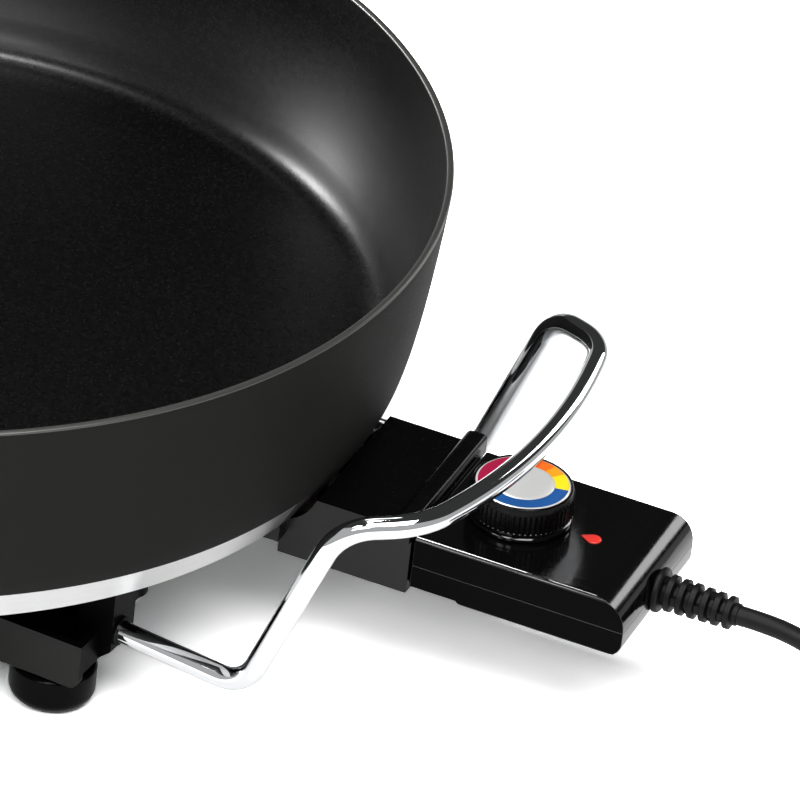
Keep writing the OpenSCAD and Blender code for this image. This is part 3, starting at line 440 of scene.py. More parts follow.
def rod(name, a, b, diameter, sides=40):
    """A straight round bar between two points."""
    choose()
    bpy.ops.mesh.primitive_cylinder_add(vertices=sides, radius=diameter / 2, depth=(b - a).length)
    piece = bpy.context.object
    piece.name = piece.data.name = name
    piece.matrix_world = Matrix.Translation((a + b) / 2) @ (b - a).to_track_quat("Z", "Y").to_matrix().to_4x4()
    bpy.ops.object.transform_apply(location=True, rotation=True, scale=True)
    return piece


def dressed(node, bevel, finish, smooth=35, segments=3):
    """A copy of a CAD node, its flat faces joined and its edges rounded by a bevel in millimetres."""
    choose(NODES[node])
    bpy.ops.object.duplicate()
    piece = bpy.context.object
    bpy.ops.object.parent_clear(type="CLEAR_KEEP_TRANSFORM")
    bpy.ops.object.transform_apply(location=True, rotation=True, scale=True)
    for key in [key for key in piece.keys() if key.startswith("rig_")]:
        del piece[key]
    piece.name = piece.data.name = node + "_dressed"
    bpy.ops.mesh.customdata_custom_splitnormals_clear()
    edit(piece)
    bpy.ops.mesh.remove_doubles(threshold=WELD)
    bpy.ops.mesh.dissolve_limited(angle_limit=math.radians(0.5))
    modify(piece, "BEVEL", width=bevel * MM, segments=segments, limit_method="ANGLE", angle_limit=math.radians(32),
           use_clamp_overlap=True, harden_normals=False)
    choose(piece)
    bpy.ops.object.shade_smooth_by_angle(angle=math.radians(smooth))
    modify(piece, "WEIGHTED_NORMAL", keep_sharp=True)
    piece.data.materials.clear()
    return settle(piece, finish, node)


def zone(piece, finish, test):
    """Gives a finish to the faces whose centre and normal pass a test."""
    piece.data.materials.append(finish)
    for face in piece.data.polygons:
        if test(face.center, face.normal):
            face.material_index = len(piece.data.materials) - 1


def settle(piece, finish, *nodes, body=None, slot=None):
    """Gives a piece its finish and its body, and hides the CAD nodes that it stands for."""
    if piece.type == "MESH" and not piece.data.polygons:
        raise RuntimeError(piece.name + " has no faces")
    if finish:
        piece.data.materials.append(finish)
    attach(piece, body or BODY_OF[nodes[0]])
    if nodes:
        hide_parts(*nodes)
    return piece


def tint(name, shade=1.0):
    """A colour property as RGBA, lightened or darkened by shade."""
    return (*[min(1.0, c * shade) for c in getattr(bpy.context.scene.skillet_colours, name)], 1.0)


def add(tree, kind, settings=None, links=None):
    """Adds a shader node, sets its values, and links sockets into its inputs."""
    node = tree.nodes.new("ShaderNode" + kind)
    for key, value in (settings or {}).items():
        if isinstance(key, int) or key in node.inputs:
            node.inputs[key].default_value = value
        else:
            setattr(node, key, value)
    for key, socket in (links or {}).items():
        tree.links.new(socket, node.inputs[key])
    return node


def shader_of(name, fixed):
    """A new material, its node tree and its shader, with the values that are the same all over."""
    finish = bpy.data.materials.new(name)
    finish.use_nodes = True
    shader = finish.node_tree.nodes["Principled BSDF"]
    for socket, value in fixed.items():
        shader.inputs[socket].default_value = value
    return finish, finish.node_tree, shader


def grained(name, tone, shade, grain, rough, relief, stretch=(1, 1, 1), **fixed):
    """A finish whose tone, gloss and surface waver with a fine grain; grain and relief are millimetres."""
    if name in bpy.data.materials:
        return bpy.data.materials[name]
    finish, tree, shader = shader_of(name, {key.replace("_", " "): value for key, value in fixed.items()})
    place = add(tree, "TexCoord")
    lie = add(tree, "Mapping", {"Scale": stretch}, {"Vector": place.outputs["Object"]})
    noise = add(tree, "TexNoise", {"Scale": 1 / (grain * MM), "Detail": 3.0}, {"Vector": lie.outputs["Vector"]})
    paint = add(tree, "Mix", {"data_type": "RGBA", 6: tint(tone), 7: tint(tone, shade)}, {0: noise.outputs["Fac"]})
    gloss = add(tree, "MapRange", {"From Min": 0.3, "From Max": 0.7, "To Min": rough[0], "To Max": rough[1]},
                {"Value": noise.outputs["Fac"]})
    bump = add(tree, "Bump", {"Distance": relief * MM}, {"Height": noise.outputs["Fac"]})
    tree.links.new(paint.outputs[2], shader.inputs["Base Color"])
    tree.links.new(gloss.outputs["Result"], shader.inputs["Roughness"])
    tree.links.new(bump.outputs["Normal"], shader.inputs["Normal"])
    return finish


def turned_lines(tree, strength=None):
    """Spreads a shader's highlights across lines that run round the upright axis; strength may vary over the piece."""
    shader = tree.nodes["Principled BSDF"]
    around = add(tree, "Tangent", {"direction_type": "RADIAL", "axis": "Z"})
    tree.links.new(around.outputs["Tangent"], shader.inputs["Tangent"])
    shader.inputs["Anisotropic Rotation"].default_value = 0.25
    if strength:
        tree.links.new(strength, shader.inputs["Anisotropic"])


def nonstick(p):
    """Black non-stick coat over turned metal: lines show up the wall; sparse pale mineral flecks all over."""
    finish = grained("ptfe_nonstick_sprayed_and_baked", "nonstick", shade=2.0, grain=2.5, rough=(0.26, 0.3),
                     relief=0.02, IOR=1.45)
    tree = finish.node_tree
    shader = tree.nodes["Principled BSDF"]
    floor = p.base_height + p.recess + p.floor
    corner_low, corner_high = floor + 4 * MM, floor + 14 * MM
    wall_low, wall_high = floor + 18 * MM, floor + 60 * MM
    fleck_spacing = 1.3 * MM
    place = add(tree, "TexCoord")
    axes = add(tree, "SeparateXYZ", links={"Vector": place.outputs["Object"]})
    # The turned lines set in up the corner and grow weaker up the wall
    rise = add(tree, "MapRange", {"From Min": corner_low, "From Max": corner_high}, {"Value": axes.outputs["Z"]})
    fall = add(tree, "MapRange", {"From Min": wall_low, "From Max": wall_high, "To Min": 1.0, "To Max": 0.3},
               {"Value": axes.outputs["Z"]})
    wall = add(tree, "Math", {"operation": "MULTIPLY"}, {0: rise.outputs["Result"], 1: fall.outputs["Result"]})
    waver = shader.inputs["Roughness"].links[0].from_socket
    gloss = add(tree, "Math", {"operation": "MULTIPLY_ADD", 1: 0.16}, {0: wall.outputs["Value"], 2: waver})
    lines = add(tree, "Math", {"operation": "MULTIPLY", 1: 0.88}, {0: wall.outputs["Value"]})
    sheen = add(tree, "Math", {"operation": "MULTIPLY_ADD", 1: 0.45, 2: 0.25}, {0: wall.outputs["Value"]})
    turned_lines(tree, lines.outputs["Value"])
    tree.links.new(sheen.outputs["Value"], shader.inputs["Specular IOR Level"])
    tree.links.new(gloss.outputs["Value"], shader.inputs["Roughness"])
    cells = add(tree, "TexVoronoi", {"Scale": 1 / fleck_spacing}, {"Vector": place.outputs["Object"]})
    spots = add(tree, "MapRange", {"From Min": 0.15, "From Max": 0.35, "To Min": 1.0, "To Max": 0.0},
                {"Value": cells.outputs["Distance"]})
    paint = shader.inputs["Base Color"].links[0].from_socket
    flecks = add(tree, "Mix", {"data_type": "RGBA", 7: tint("fleck")}, {0: spots.outputs["Result"], 6: paint})
    tree.links.new(flecks.outputs[2], shader.inputs["Base Color"])
    return finish


def wall_paint():
    """Charcoal heat-proof paint: an even satin."""
    return grained("silicone_paint_sprayed", "wall_paint", shade=1.25, grain=0.8, rough=(0.55, 0.65), relief=0.01,
                   IOR=1.45, Specular_IOR_Level=0.06)


def turned_aluminium():
    """Bare band: bright, with fine turned lines round the base."""
    finish = grained("aluminium_turned_bare", "aluminium", shade=0.85, grain=0.25, rough=(0.36, 0.46), relief=0.004,
                     stretch=(0.02, 0.02, 1), Metallic=1.0, Anisotropic=0.8)
    turned_lines(finish.node_tree)
    return finish


def rim_metal():
    """Rim: coat worn thin over the metal, so that it shows as a grey line."""
    return grained("aluminium_rim_thinly_coated", "rim", shade=0.8, grain=0.6, rough=(0.3, 0.42), relief=0.004,
                   Metallic=0.8)


def cast_aluminium():
    """Underside: dull dark casting, painted thinly."""
    return grained("aluminium_die_cast_thin_paint", "wall_paint", shade=1.8, grain=1.5, rough=(0.5, 0.65), relief=0.03,
                   Metallic=0.3)


def chrome():
    """Handle wire: mirror bright, barely wavy."""
    return grained("steel_wire_chrome_plated", "chrome", shade=0.95, grain=6, rough=(0.03, 0.06), relief=0.002,
                   Metallic=1.0)


def phenolic(name, rough, gloss, tone="phenolic"):
    """Moulded phenolic: near black, with a faint swirl of filler."""
    return grained(name, tone, shade=1.3, grain=2.5, rough=rough, relief=0.004, IOR=1.6, Specular_IOR_Level=gloss)


def rubber(name="pvc_extruded_soft", tone="rubber"):
    """Lead and its fittings: soft satin black."""
    return grained(name, tone, shade=1.3, grain=1.0, rough=(0.42, 0.55), relief=0.008,
                   IOR=1.53, Specular_IOR_Level=0.15)


def plated(name, shade=0.85):
    """Plated steel fittings: grey, lightly clouded."""
    return grained(name, "steel", shade=shade, grain=1.5, rough=(0.25, 0.4), relief=0.004, Metallic=1.0)


def dial_print():
    """Printed dial: coloured sectors by angle about the knob's axis, under a satin lacquer."""
    finish, tree, shader = shader_of("aluminium_foil_screen_printed", {"Roughness": 0.35, "Specular IOR Level": 0.1})
    place = add(tree, "TexCoord")
    centre = add(tree, "Mapping", {"Location": -KNOB_AXIS}, {"Vector": place.outputs["Object"]})
    axes = add(tree, "SeparateXYZ", links={"Vector": centre.outputs["Vector"]})
    turn = add(tree, "Math", {"operation": "ARCTAN2"}, {0: axes.outputs["Y"], 1: axes.outputs["X"]})
    share = add(tree, "MapRange", {"From Min": -math.pi, "From Max": math.pi}, {"Value": turn.outputs["Value"]})
    ramp = add(tree, "ValToRGB", links={"Fac": share.outputs["Result"]})
    ramp.color_ramp.interpolation = "CONSTANT"
    stops = ramp.color_ramp.elements
    for i, (first, tone) in enumerate(DIAL_SECTORS):
        stop = stops.new((first + 180) / 360) if i else stops[0]
        stop.position = (first + 180) / 360
        stop.color = tint(tone)
    # A new ramp comes with a last stop of its own
    stops.remove(stops[-1])
    tree.links.new(ramp.outputs["Color"], shader.inputs["Base Color"])
    return finish


def silver():
    """Middle of the dial and its bezel: pale satin metal."""
    return grained("aluminium_satin_brushed", "silver", shade=0.92, grain=0.4, rough=(0.3, 0.4), relief=0.002,
                   stretch=(1, 0.05, 1), Metallic=0.3)


def red_lens():
    """Pilot lens: clear red plastic over a dark lamp."""
    return grained("polycarbonate_red_moulded", "lens", shade=0.85, grain=1.5, rough=(0.12, 0.2), relief=0.002,
                   IOR=1.58, Coat_Weight=0.3)


def pan_profile(p):
    """The pan's section from the middle of its underside, round the rim, to the middle of its floor."""
    band_r = RIM_R - p.wall_flare
    base_r = band_r - p.band_flare
    belly_r = band_r + p.belly_out
    band_z = p.base_height + p.band_height
    belly_z = band_z + p.belly_up
    ceiling = p.base_height + p.recess
    floor = ceiling + p.floor
    skirt_r = base_r - p.skirt
    edge = p.rim_round
    edge_z = RIM_Z - edge
    nick = 0.17 * MM
    toe_r, toe_z = belly_r - p.wall - p.toe_in, floor + p.toe_up
    under = [(0, ceiling), (skirt_r, ceiling), (skirt_r + p.skirt_slope, p.base_height),
             (base_r - p.base_round, p.base_height)]
    foot = [(base_r - nick, p.base_height + nick), (base_r, p.base_height + p.base_round), (band_r, band_z)]
    wall_out = bow((band_r + p.paint_step, band_z), (belly_r, belly_z), (RIM_R, edge_z), 28)
    rim = arc((RIM_R - edge, edge_z), edge, 0, 90, 5) + arc((RIM_R - p.wall + edge, edge_z), edge, 90, 180, 5)
    wall_in = bow((RIM_R - p.wall, edge_z), (belly_r - p.wall, belly_z + p.belly_lift), (toe_r, toe_z), 24)
    corner = bow((toe_r, toe_z), (toe_r - p.corner_draw, floor), (toe_r - p.corner, floor), 20)
    return under + foot + wall_out[:-1] + rim[:-1] + wall_in + corner[1:] + [(0, floor)]


def probe_well(p):
    """A tool for the probe's well and its way in through the skirt."""
    z = p.base_height - p.plug_drop
    return rod("well", at(p.well_end, 0, z), at(p.well_mouth, 0, z), p.probe)


def heater_gap(p):
    """Half the angle that the heater's ring leaves open towards the hood."""
    return math.asin((p.pin_side + p.tube_bend) / (p.ring + p.tube_bend))


def pan_shell(p):
    """Lathes the pan, opens the probe's way through its skirt, and lays its finishes."""
    band_z = p.base_height + p.band_height
    floor = p.base_height + p.recess + p.floor
    hood_low, hood_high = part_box("hood")
    near = 0.1 * MM
    piece = lathe("pan_shell", pan_profile(p), at(0, 0, 0), p.steps, 40)
    piece.data.materials.append(cast_aluminium())

    def outward(point, normal):
        return normal.dot(Vector((point.x - AXIS_X, point.y, 0)).normalized()) > 0.05

    def reach(point):
        return math.hypot(point.x - AXIS_X, point.y)

    def bare_outside_hood_shade(point):
        # Painted shade: behind the hood, and over the margin past its rear side, the band keeps the dark underside
        # paint in place of bare metal
        return point.x < AXIS_X or not hood_low.y < point.y < hood_high.y + p.hood_shade_margin

    zone(piece, nonstick(p), lambda c, n: c.z > floor - near and not outward(c, n))
    zone(piece, wall_paint(), lambda c, n: c.z > band_z and outward(c, n))
    zone(piece, turned_aluminium(), lambda c, n: c.z < band_z + near and outward(c, n) and bare_outside_hood_shade(c))
    zone(piece, rim_metal(), lambda c, n: c.z > RIM_Z - p.rim_round and reach(c) > RIM_R - p.wall - near)
    combine(piece, "DIFFERENCE", probe_well(p))
    settle(piece, None, "pan_body")


def underside(p):
    """The heater's rib, the probe's boss and the screw bosses under the pan's floor."""
    low = p.base_height - p.plug_drop
    top = p.base_height + p.recess + p.sink
    half = p.tube / 2 + p.rib_side
    gap = heater_gap(p)
    cast = cast_aluminium()
    section = [(p.ring - half, top), (p.ring - half, low)]
    section += [tuple(v) for v in arc((p.ring, low), p.tube / 2 + p.tube_play, 180, 0, 16)]
    section += [(p.ring + half, low), (p.ring + half, top)]
    rib = lathe("heater_rib", section, at(0, 0, 0), 120, start=gap, turn=2 * (math.pi - gap), filled=True)
    settle(rib, cast, body="pan", slot=SLOT_OF["pan_body"])
    boss = box("probe_boss", at(p.boss_in, -p.boss_side, low - p.boss_drop), at(p.boss_out, p.boss_side, top))
    modify(boss, "BEVEL", width=p.boss_round, segments=3)
    combine(boss, "DIFFERENCE", probe_well(p))
    settle(tidy(boss), cast, body="pan", slot=SLOT_OF["pan_body"])
    skew = Matrix.Rotation(bpy.context.scene.skillet_handle.turn, 4, "Z")
    places = [(Vector((p.hood_boss_x, side * p.hood_boss_y, 0)), p.hood_boss) for side in (-1, 1)]
    places += [(skew @ Vector((end * p.rail_boss_x, side * p.rail_boss_y, 0)), p.rail_boss)
               for end in (-1, 1) for side in (-1, 1)]
    for i, (spot, diameter) in enumerate(places):
        boss = rod("screw_boss_%d" % i, at(spot.x, spot.y, p.base_height), at(spot.x, spot.y, top), diameter)
        settle(tidy(boss), cast, body="pan", slot=SLOT_OF["pan_body"])


def heating_tube(p):
    """The heater: an open ring whose ends turn out towards the hood."""
    z = p.base_height - p.plug_drop
    gap = heater_gap(p)
    opening = math.degrees(gap)
    leg = ((p.ring + p.tube_bend) * math.cos(gap), p.pin_side + p.tube_bend)
    half = [Vector((p.tube_end, p.pin_side))] + arc(leg, p.tube_bend, -90, opening - 180, 10)
    around = arc((0, 0), p.ring, opening, 360 - opening, 120)
    flat = half + around[1:-1] + [Vector((v.x, -v.y)) for v in reversed(half)]
    sheath = grained("nickel_alloy_sheath_oxidised", "steel", shade=0.7, grain=3, rough=(0.4, 0.55), relief=0.01,
                     Metallic=0.9)
    settle(tube("heating_tube", [at(v.x, v.y, z) for v in flat], p.tube), sheath, "heating_element")


def handle(h, name, node, turn):
    """A handle of round wire through rounded corners, from block to block."""
    low = Vector((RIM_R + h.low_out, -h.low_side, h.rod_height - h.low_drop))
    mouth = Vector((h.mouth_out, -h.mouth_side, h.rod_height))
    half = [
        mouth - (low - mouth).normalized() * h.rod_depth,
        low,
        Vector((RIM_R + h.top_out, -h.top_side, h.grip_height - h.top_drop)),
        Vector((RIM_R + h.grip_out, -h.grip_side, h.grip_height)),
    ]
    middle = Vector((RIM_R + h.bow_out, 0, h.grip_height - h.bow_drop))
    corners = half + [middle] + [Vector((v.x, -v.y, v.z)) for v in reversed(half)]
    bends = (h.low_bend, h.top_bend, h.grip_bend)
    points = corners[:1]
    for a, b, c, radius in zip(corners, corners[1:], corners[2:], (*bends, h.bow_bend, *reversed(bends))):
        points += bend(a, b, c, radius, 16)
    points += corners[-1:]
    skew = Matrix.Rotation(h.turn + turn, 4, "Z")
    spots = [at(*(skew @ b)) for a, b in zip(corners[-1:] + points, points) if (b - a).length > MM]
    settle(tube(name, spots, h.wire, 8), chrome(), node)


def knob_body(k):
    """The knob: plain foot ring, ribbed waist, bevelled top with a recess for the dial."""
    axis = KNOB_AXIS + Vector((0, 0, KNOB_LOW.z))
    r = (KNOB_HIGH.x - KNOB_LOW.x) / 2
    height = KNOB_HIGH.z - KNOB_LOW.z
    top = height - k.bevel
    dial_r = r - k.dial_gap
    e = k.edge
    foot = [(r - 2 * e, 0), (r - e, e), (r, 2 * e), (r, 5 * e), (r - e, 6 * e), (r - 3 * e, 7 * e),
            (r - 3 * e, 9 * e), (r - e, 10 * e), (r - e, k.waist_low - k.fine)]
    waist = [(r, k.waist_low), (r, top - k.fine), (r - k.ledge, top), (r - k.ledge, top + 2 * e)]
    lip = [(dial_r + 3 * e, height - e), (dial_r + 2 * e, height), (dial_r + k.fine, height),
           (dial_r + k.fine, height - k.dial)]
    bore = [(k.bore, height - k.dial), (k.bore, 0)]
    piece = lathe("knob_ribbed", bore[1:] + foot + waist + lip + bore, axis, 4 * k.ribs, 25)
    edit(piece)
    bpy.ops.mesh.select_mode(type="VERT")
    bpy.ops.mesh.select_all(action="DESELECT")
    choose(piece)
    # Every other pair of the waist's points goes in, as a groove
    for v in piece.data.vertices:
        flat = v.co - KNOB_AXIS
        turn = math.degrees(math.atan2(flat.y, flat.x)) * k.ribs / 360
        ribbed = k.waist_low < v.co.z - KNOB_LOW.z + k.fine / 2 < top
        v.select = ribbed and math.hypot(flat.x, flat.y) > r - k.fine and (turn + 0.125) % 1 > 0.5
    bpy.ops.object.mode_set(mode="EDIT")
    share = 1 - k.rib_depth / r
    bpy.ops.transform.resize(value=(share, share, 1), center_override=KNOB_AXIS)
    choose(piece)
    settle(piece, phenolic("phenolic_moulded_knob", (0.2, 0.3), 0.08), "knob")
    zone(piece, phenolic("phenolic_moulded_knob_foot", (0.06, 0.1), 0.5), lambda c, n: c.z < KNOB_LOW.z + k.waist_low)


def dial(k):
    """The printed dial with its bright bezel, and the plain middle."""
    low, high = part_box("dial_plate")
    cap_low, cap_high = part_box("dial_cap")
    axis = KNOB_AXIS + Vector((0, 0, low.z))
    r, t = (high.x - low.x) / 2, high.z - low.z
    cap, h = (cap_high.x - cap_low.x) / 2, cap_high.z - cap_low.z
    e = k.fine
    hole = cap + e
    profile = [(hole, 0), (r, 0), (r, t - k.bezel_drop), (r - k.bezel, t), (hole, t), (hole, 0)]
    plate = lathe("dial_printed", profile, axis, 128, 20)
    plate.data.materials.append(dial_print())
    zone(plate, silver(), lambda c, n: math.hypot(c.x - KNOB_AXIS.x, c.y) > r - 0.9 * k.bezel)
    settle(plate, None, "dial_plate")
    dome = [(0, 0), (cap, 0), (cap, h - 4 * e), (cap - 3 * e, h - 2 * e), (cap - 12 * e, h - e), (0, h)]
    settle(lathe("dial_middle", dome, axis, 96), silver(), "dial_cap")


def lead_points(lead):
    """The lead's route from the strain relief through its coil to the plug."""
    start_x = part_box("strain_relief")[1].x - AXIS_X
    plug_low, plug_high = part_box("plug_body")
    z, step, outer, middle = lead.coil_height, lead.coil_step, lead.coil_radius, lead.coil_x
    turns_in, turns_over = lead.turns_in, 0.5
    inner = outer - step * turns_in
    knots = 16
    points = [(start_x, 0, lead.exit_height)] + [(x * MM, 0, height * MM) for x, height in LEAD_ROUTE]
    points += [(middle - lead.landing, 0, z), (middle - lead.landed, 0, z)]
    for i in range(int(knots * (turns_in + turns_over + lead.turns_out)) + 1):
        t = i / knots
        over = (t - turns_in) / turns_over
        if over < 0:
            r = outer - step * t
        elif over < 1:
            r = inner - step * turns_over * over * (1 - over)
        else:
            r = inner + step * (t - turns_in - turns_over)
        a = 2 * math.pi * t - math.pi / 2
        points.append((middle + r * math.cos(a), outer + r * math.sin(a), z + step * min(1, max(0, over))))
    tail_x, tail_y, tail_z = points[-1][0], outer + lead.tail_start, z + step
    plug_y, plug_z = plug_low.y, (plug_low.z + plug_high.z) / 2
    for along, up in TAIL_RISE:
        points.append((tail_x, tail_y + (plug_y - tail_y) * along, tail_z + (plug_z - tail_z) * up))
    return [at(*point) for point in points]


def strain_relief(lead):
    """The lead's relief: a collar and rings on a core, with staggered bridges across the gaps."""
    low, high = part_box("strain_relief")
    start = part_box("upper_housing")[1].x
    run = high.x - start
    inside = low.x - start
    r = (high.z - low.z) / 2
    core = lead.diameter / 2 + lead.core
    e = lead.collar_edge
    pitch = (run - lead.ring_start) / lead.rings
    neck, throat = core + 2 * MM, core + 1 * MM
    profile = [(core, 0), (core, inside), (neck, inside), (throat, 0), (r - e, 0), (r, 0.4 * MM), (r, 1.6 * MM),
               (r - 0.5 * MM, 2.2 * MM), (core, lead.collar)]
    for i in range(lead.rings):
        x = lead.ring_start + i * pitch
        ring = r - lead.ring_drop - lead.ring_taper * i
        profile += [(core, x), (ring - e, x), (ring, x + e), (ring, x + 0.5 * pitch), (core, x + 0.62 * pitch)]
    piece = lathe("relief_ringed", profile + [(core, run), (core - 0.5 * MM, run)], Vector(), 48)
    for i in range(lead.rings):
        x = lead.bridge_start + i * pitch
        wide, deep = lead.bridge_long, lead.bridge_short
        if i % 2:
            wide, deep = deep, wide
        bar = box("bridge_%d" % i, Vector((-wide, -deep, x)), Vector((wide, deep, x + lead.bridge)))
        combine(piece, "UNION", bar)
    piece.matrix_world = Matrix.Translation((start, 0, (low.z + high.z) / 2)) @ Matrix.Rotation(math.pi / 2, 4, "Y")
    choose(piece)
    bpy.ops.object.transform_apply(location=True, rotation=True, scale=True)
    return settle(tidy(piece), rubber("pvc_moulded_relief", "relief"), "strain_relief")


def sight(tree):
    """Sockets that are 1 for what the camera sees, and for what it sees mirrored or through something clear."""
    path = add(tree, "LightPath")
    mirrored = add(tree, "Math", {"operation": "MAXIMUM"},
                   {0: path.outputs["Is Glossy Ray"], 1: path.outputs["Is Transmission Ray"]})
    return path.outputs["Is Camera Ray"], mirrored.outputs["Value"]


def paper(s):
    """Floor: matt white paper that takes the shadow, over-exposed for the camera and less so in what mirrors it."""
    finish, tree, shader = shader_of("paper_white_matt", {"Roughness": 1.0, "Specular IOR Level": 0.0})
    bright = [c * s.gain for c in tint("paper")[:3]] + [1.0]
    direct, mirrored = sight(tree)
    part = add(tree, "Math", {"operation": "MULTIPLY_ADD", 1: s.mirror_floor}, {0: mirrored, 2: direct})
    shade = add(tree, "Mix", {"data_type": "RGBA", 6: tint("paper"), 7: bright}, {0: part.outputs["Value"]})
    tree.links.new(shade.outputs[2], shader.inputs["Base Color"])
    return finish


def cove(scene, s):
    """World: a white cove that ends lower behind, a dark ceiling over it, and plain white behind for the camera."""
    world = bpy.data.worlds.new("cove")
    scene.world = world
    world.use_nodes = True
    tree = world.node_tree
    sky = tree.nodes["Background"]
    edge = math.sin(s.cove)
    place = add(tree, "TexCoord")
    axes = add(tree, "SeparateXYZ", links={"Vector": place.outputs["Generated"]})
    rise = add(tree, "Math", {"operation": "MULTIPLY_ADD", 1: s.cove_tilt},
               {0: axes.outputs["Y"], 2: axes.outputs["Z"]})
    direct, mirrored = sight(tree)
    white = add(tree, "Math", {"operation": "MULTIPLY_ADD", 1: s.mirror_cove - s.cove_light, 2: s.cove_light},
                {0: mirrored})
    fade = add(tree, "MapRange", {"From Min": edge - 0.02, "From Max": edge + 0.03, "To Max": s.ceiling},
               {"Value": rise.outputs["Value"], "To Min": white.outputs["Value"]})
    seen = add(tree, "Math", {"operation": "MAXIMUM"}, {0: fade.outputs["Result"], 1: direct})
    tree.links.new(seen.outputs["Value"], sky.inputs["Color"])


class SKILLET_OT_stage(bpy.types.Operator):
    """Camera of the photo, white floor, cove and softboxes"""
    bl_idname = "skillet.stage"
    bl_label = "Stage"

    def execute(self, context):
        s = context.scene.skillet_stage
        back = Vector((math.sin(s.azimuth) * math.cos(s.elevation), -math.cos(s.azimuth) * math.cos(s.elevation),
                       math.sin(s.elevation)))
        side = Vector((math.cos(s.azimuth), math.sin(s.azimuth), 0))
        right = side * math.cos(s.roll) + back.cross(side) * math.sin(s.roll)
        turn = Matrix((right, back.cross(right), back)).transposed().to_4x4()
        choose()
        bpy.ops.object.camera_add()
        camera = context.object
        camera.name = "photo_camera"
        camera.data.lens = s.lens
        camera.data.sensor_width = s.sensor
        camera.data.clip_end = 20
        camera.matrix_world = Matrix.Translation(at(*s.location)) @ turn
        context.scene.camera = camera
        context.scene.view_settings.view_transform = "Standard"
        choose()
        bpy.ops.mesh.primitive_plane_add(size=s.floor, location=(0, 0, -s.floor_drop))
        floor = context.object
        floor.name = "floor"
        floor.data.materials.append(paper(s))
        for name, azimuth, elevation, distance, width, height, power in SOFTBOXES:
            a, e = math.radians(azimuth), math.radians(elevation)
            away = Vector((math.cos(a) * math.cos(e), math.sin(a) * math.cos(e), math.sin(e)))
            bpy.ops.object.light_add(type="AREA", location=away * distance + AIM)
            lamp = context.object
            lamp.name = name
            lamp.rotation_euler = away.to_track_quat("Z", "Y").to_euler()
            lamp.data.shape = "RECTANGLE"
            lamp.data.size, lamp.data.size_y = width, height
            lamp.data.energy = power
            lamp.visible_camera = False
        cove(context.scene, s)
        return {"FINISHED"}


class SKILLET_OT_lead(bpy.types.Operator):
    """Strain relief, lead with its coil and tie, and plug"""
    bl_idname = "skillet.lead"
    bl_label = "Lead"

    def execute(self, context):
        lead = context.scene.skillet_lead
        points = lead_points(lead)
        soft = rubber()
        cord = settle(wire("lead", points, lead.diameter), soft, "cord", "cord_coil", "cord_tail")
        relief = strain_relief(lead)
        tie = dressed("cord_tie", 0.25, soft)
        plug = dressed("plug_body", 0.5, soft)
        return {"FINISHED"}


class SKILLET_OT_pan(bpy.types.Operator):
    """Pan, its underside and its heater"""
    bl_idname = "skillet.pan"
    bl_label = "Pan"

    def execute(self, context):
        p = context.scene.skillet_pan
        pan_shell(p)
        underside(p)
        heating_tube(p)
        return {"FINISHED"}


class SKILLET_OT_handles(bpy.types.Operator):
    """Two bent wire handles"""
    bl_idname = "skillet.handles"
    bl_label = "Handles"

    def execute(self, context):
        h = context.scene.skillet_handle
        handle(h, "wire_handle_right", "handle_right", 0.0)
        handle(h, "wire_handle_left", "handle_left", math.pi)
        return {"FINISHED"}


class SKILLET_OT_rails(bpy.types.Operator):
    """Foot rails and feet"""
    bl_idname = "skillet.rails"
    bl_label = "Rails and feet"

    def execute(self, context):
        satin = phenolic("phenolic_moulded_satin", (0.3, 0.42), 0.12, "rail")
        gloss = phenolic("phenolic_moulded_foot", (0.1, 0.16), 0.04)
        matt = phenolic("phenolic_moulded_block", (0.3, 0.4), 0.02)
        straight = Matrix.Rotation(-context.scene.skillet_handle.turn, 4, "Z")
        bevel = 0.8

        def across(point):
            return abs((straight @ (point - at(0, 0, 0))).y)

        for node in ("foot_rail_front", "foot_rail_rear"):
            rail = dressed(node, bevel, matt)
            reach = max(across(v.co) for v in rail.data.vertices)
            zone(rail, satin, lambda c, n: across(c) > reach - (bevel + 0.1) * MM)
        for node in ("foot_front_right", "foot_front_left", "foot_rear_right", "foot_rear_left"):
            dressed(node, 0.4, gloss)
        return {"FINISHED"}


class SKILLET_OT_hood(bpy.types.Operator):
    """Terminal hood"""
    bl_idname = "skillet.hood"
    bl_label = "Hood"

    def execute(self, context):
        piece = dressed("hood", 0.8, phenolic("phenolic_moulded_hood", (0.2, 0.28), 0.12))
        zone(piece, phenolic("phenolic_moulded_hood_sides", (0.3, 0.4), 0.26), lambda c, n: abs(n.y) > 0.3)
        return {"FINISHED"}


class SKILLET_OT_control(bpy.types.Operator):
    """Control's housing and pilot lens"""
    bl_idname = "skillet.control"
    bl_label = "Control"

    def execute(self, context):
        gloss = phenolic("phenolic_moulded_gloss", (0.1, 0.15), 0.42)
        matt = phenolic("phenolic_moulded_sides", (0.3, 0.4), 0.02)
        for node in ("upper_housing", "lower_housing"):
            zone(dressed(node, 0.6, gloss), matt, lambda c, n: abs(n.y) > 0.97)
        dressed("pilot_lens", 0.35, red_lens())
        return {"FINISHED"}


class SKILLET_OT_knob(bpy.types.Operator):
    """Knob with its printed dial"""
    bl_idname = "skillet.knob"
    bl_label = "Knob"

    def execute(self, context):
        k = context.scene.skillet_knob
        knob_body(k)
        dial(k)
        return {"FINISHED"}


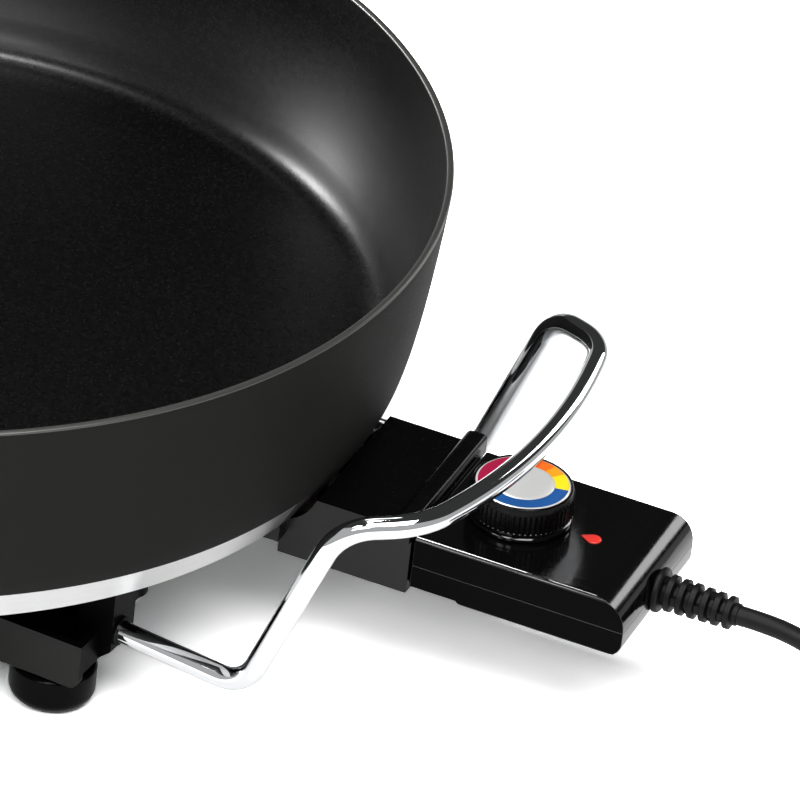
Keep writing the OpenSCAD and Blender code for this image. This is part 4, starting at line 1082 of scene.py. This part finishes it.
class SKILLET_OT_fittings(bpy.types.Operator):
    """Finishes of the inner fittings that keep their CAD form"""
    bl_idname = "skillet.fittings"
    bl_label = "Fittings"

    def execute(self, context):
        finishes = {
            "plated_steel": plated("steel_nickel_plated"),
            "zinc_steel": plated("steel_zinc_plated", 0.75),
            "frame_steel": plated("steel_sheet_zinc_plated", 0.8),
            # Painted shade: the insulators are near black for the shade inside the hood, over their brown glaze
            "ceramic": grained(
                "steatite_brown_glazed", "glaze", shade=0.9, grain=2, rough=(0.2, 0.3), relief=0.004),
            "carrier_phenolic": grained(
                "phenolic_filled_moulding", "silver", shade=0.6, grain=1, rough=(0.5, 0.6), relief=0.01),
            "contact_brass": grained(
                "brass_spring_rolled", "dial_yellow", shade=0.8, grain=1, rough=(0.25, 0.35), relief=0.002,
                Metallic=1.0),
            "wire_insulation": grained(
                "silicone_sleeve_extruded", "dial_red", shade=0.7, grain=1, rough=(0.45, 0.55), relief=0.004),
            "lamp_glass": grained(
                "glass_blown_clear", "silver", shade=0.95, grain=4, rough=(0.03, 0.06), relief=0.001, IOR=1.5),
        }
        for node, shape in NODES.items():
            if not shape.hide_render:
                if SLOT_OF[node] not in finishes:
                    raise RuntimeError(node + " has no finish")
                for holder in shape.material_slots:
                    holder.material = finishes[SLOT_OF[node]]
        return {"FINISHED"}


class SKILLET_PT_panel(bpy.types.Panel):
    """Steps of the skillet in the sidebar"""
    bl_label = "Electric skillet"
    bl_space_type = "VIEW_3D"
    bl_region_type = "UI"
    bl_category = "Skillet"

    def draw(self, context):
        for step in STEPS:
            self.layout.operator("skillet." + step)


STEPS = ("stage", "lead", "pan", "handles", "rails", "hood", "control", "knob", "fittings")
GROUPS = {
    "skillet_pan": SkilletPan, "skillet_handle": SkilletHandle, "skillet_knob": SkilletKnob,
    "skillet_lead": SkilletLead, "skillet_colours": SkilletColours, "skillet_stage": SkilletStage,
}
CLASSES = (
    *GROUPS.values(), SKILLET_OT_stage, SKILLET_OT_lead, SKILLET_OT_pan, SKILLET_OT_handles, SKILLET_OT_rails,
    SKILLET_OT_hood, SKILLET_OT_control, SKILLET_OT_knob, SKILLET_OT_fittings, SKILLET_PT_panel,
)


def register():
    for cls in CLASSES:
        bpy.utils.register_class(cls)
    for name, group in GROUPS.items():
        setattr(bpy.types.Scene, name, bpy.props.PointerProperty(type=group))


def unregister():
    for name in GROUPS:
        delattr(bpy.types.Scene, name)
    for cls in reversed(CLASSES):
        bpy.utils.unregister_class(cls)


def main():
    register()
    for step in STEPS:
        getattr(bpy.ops.skillet, step)()
    choose()
    bpy.context.view_layer.update()


if __name__ == "__main__":
    main()
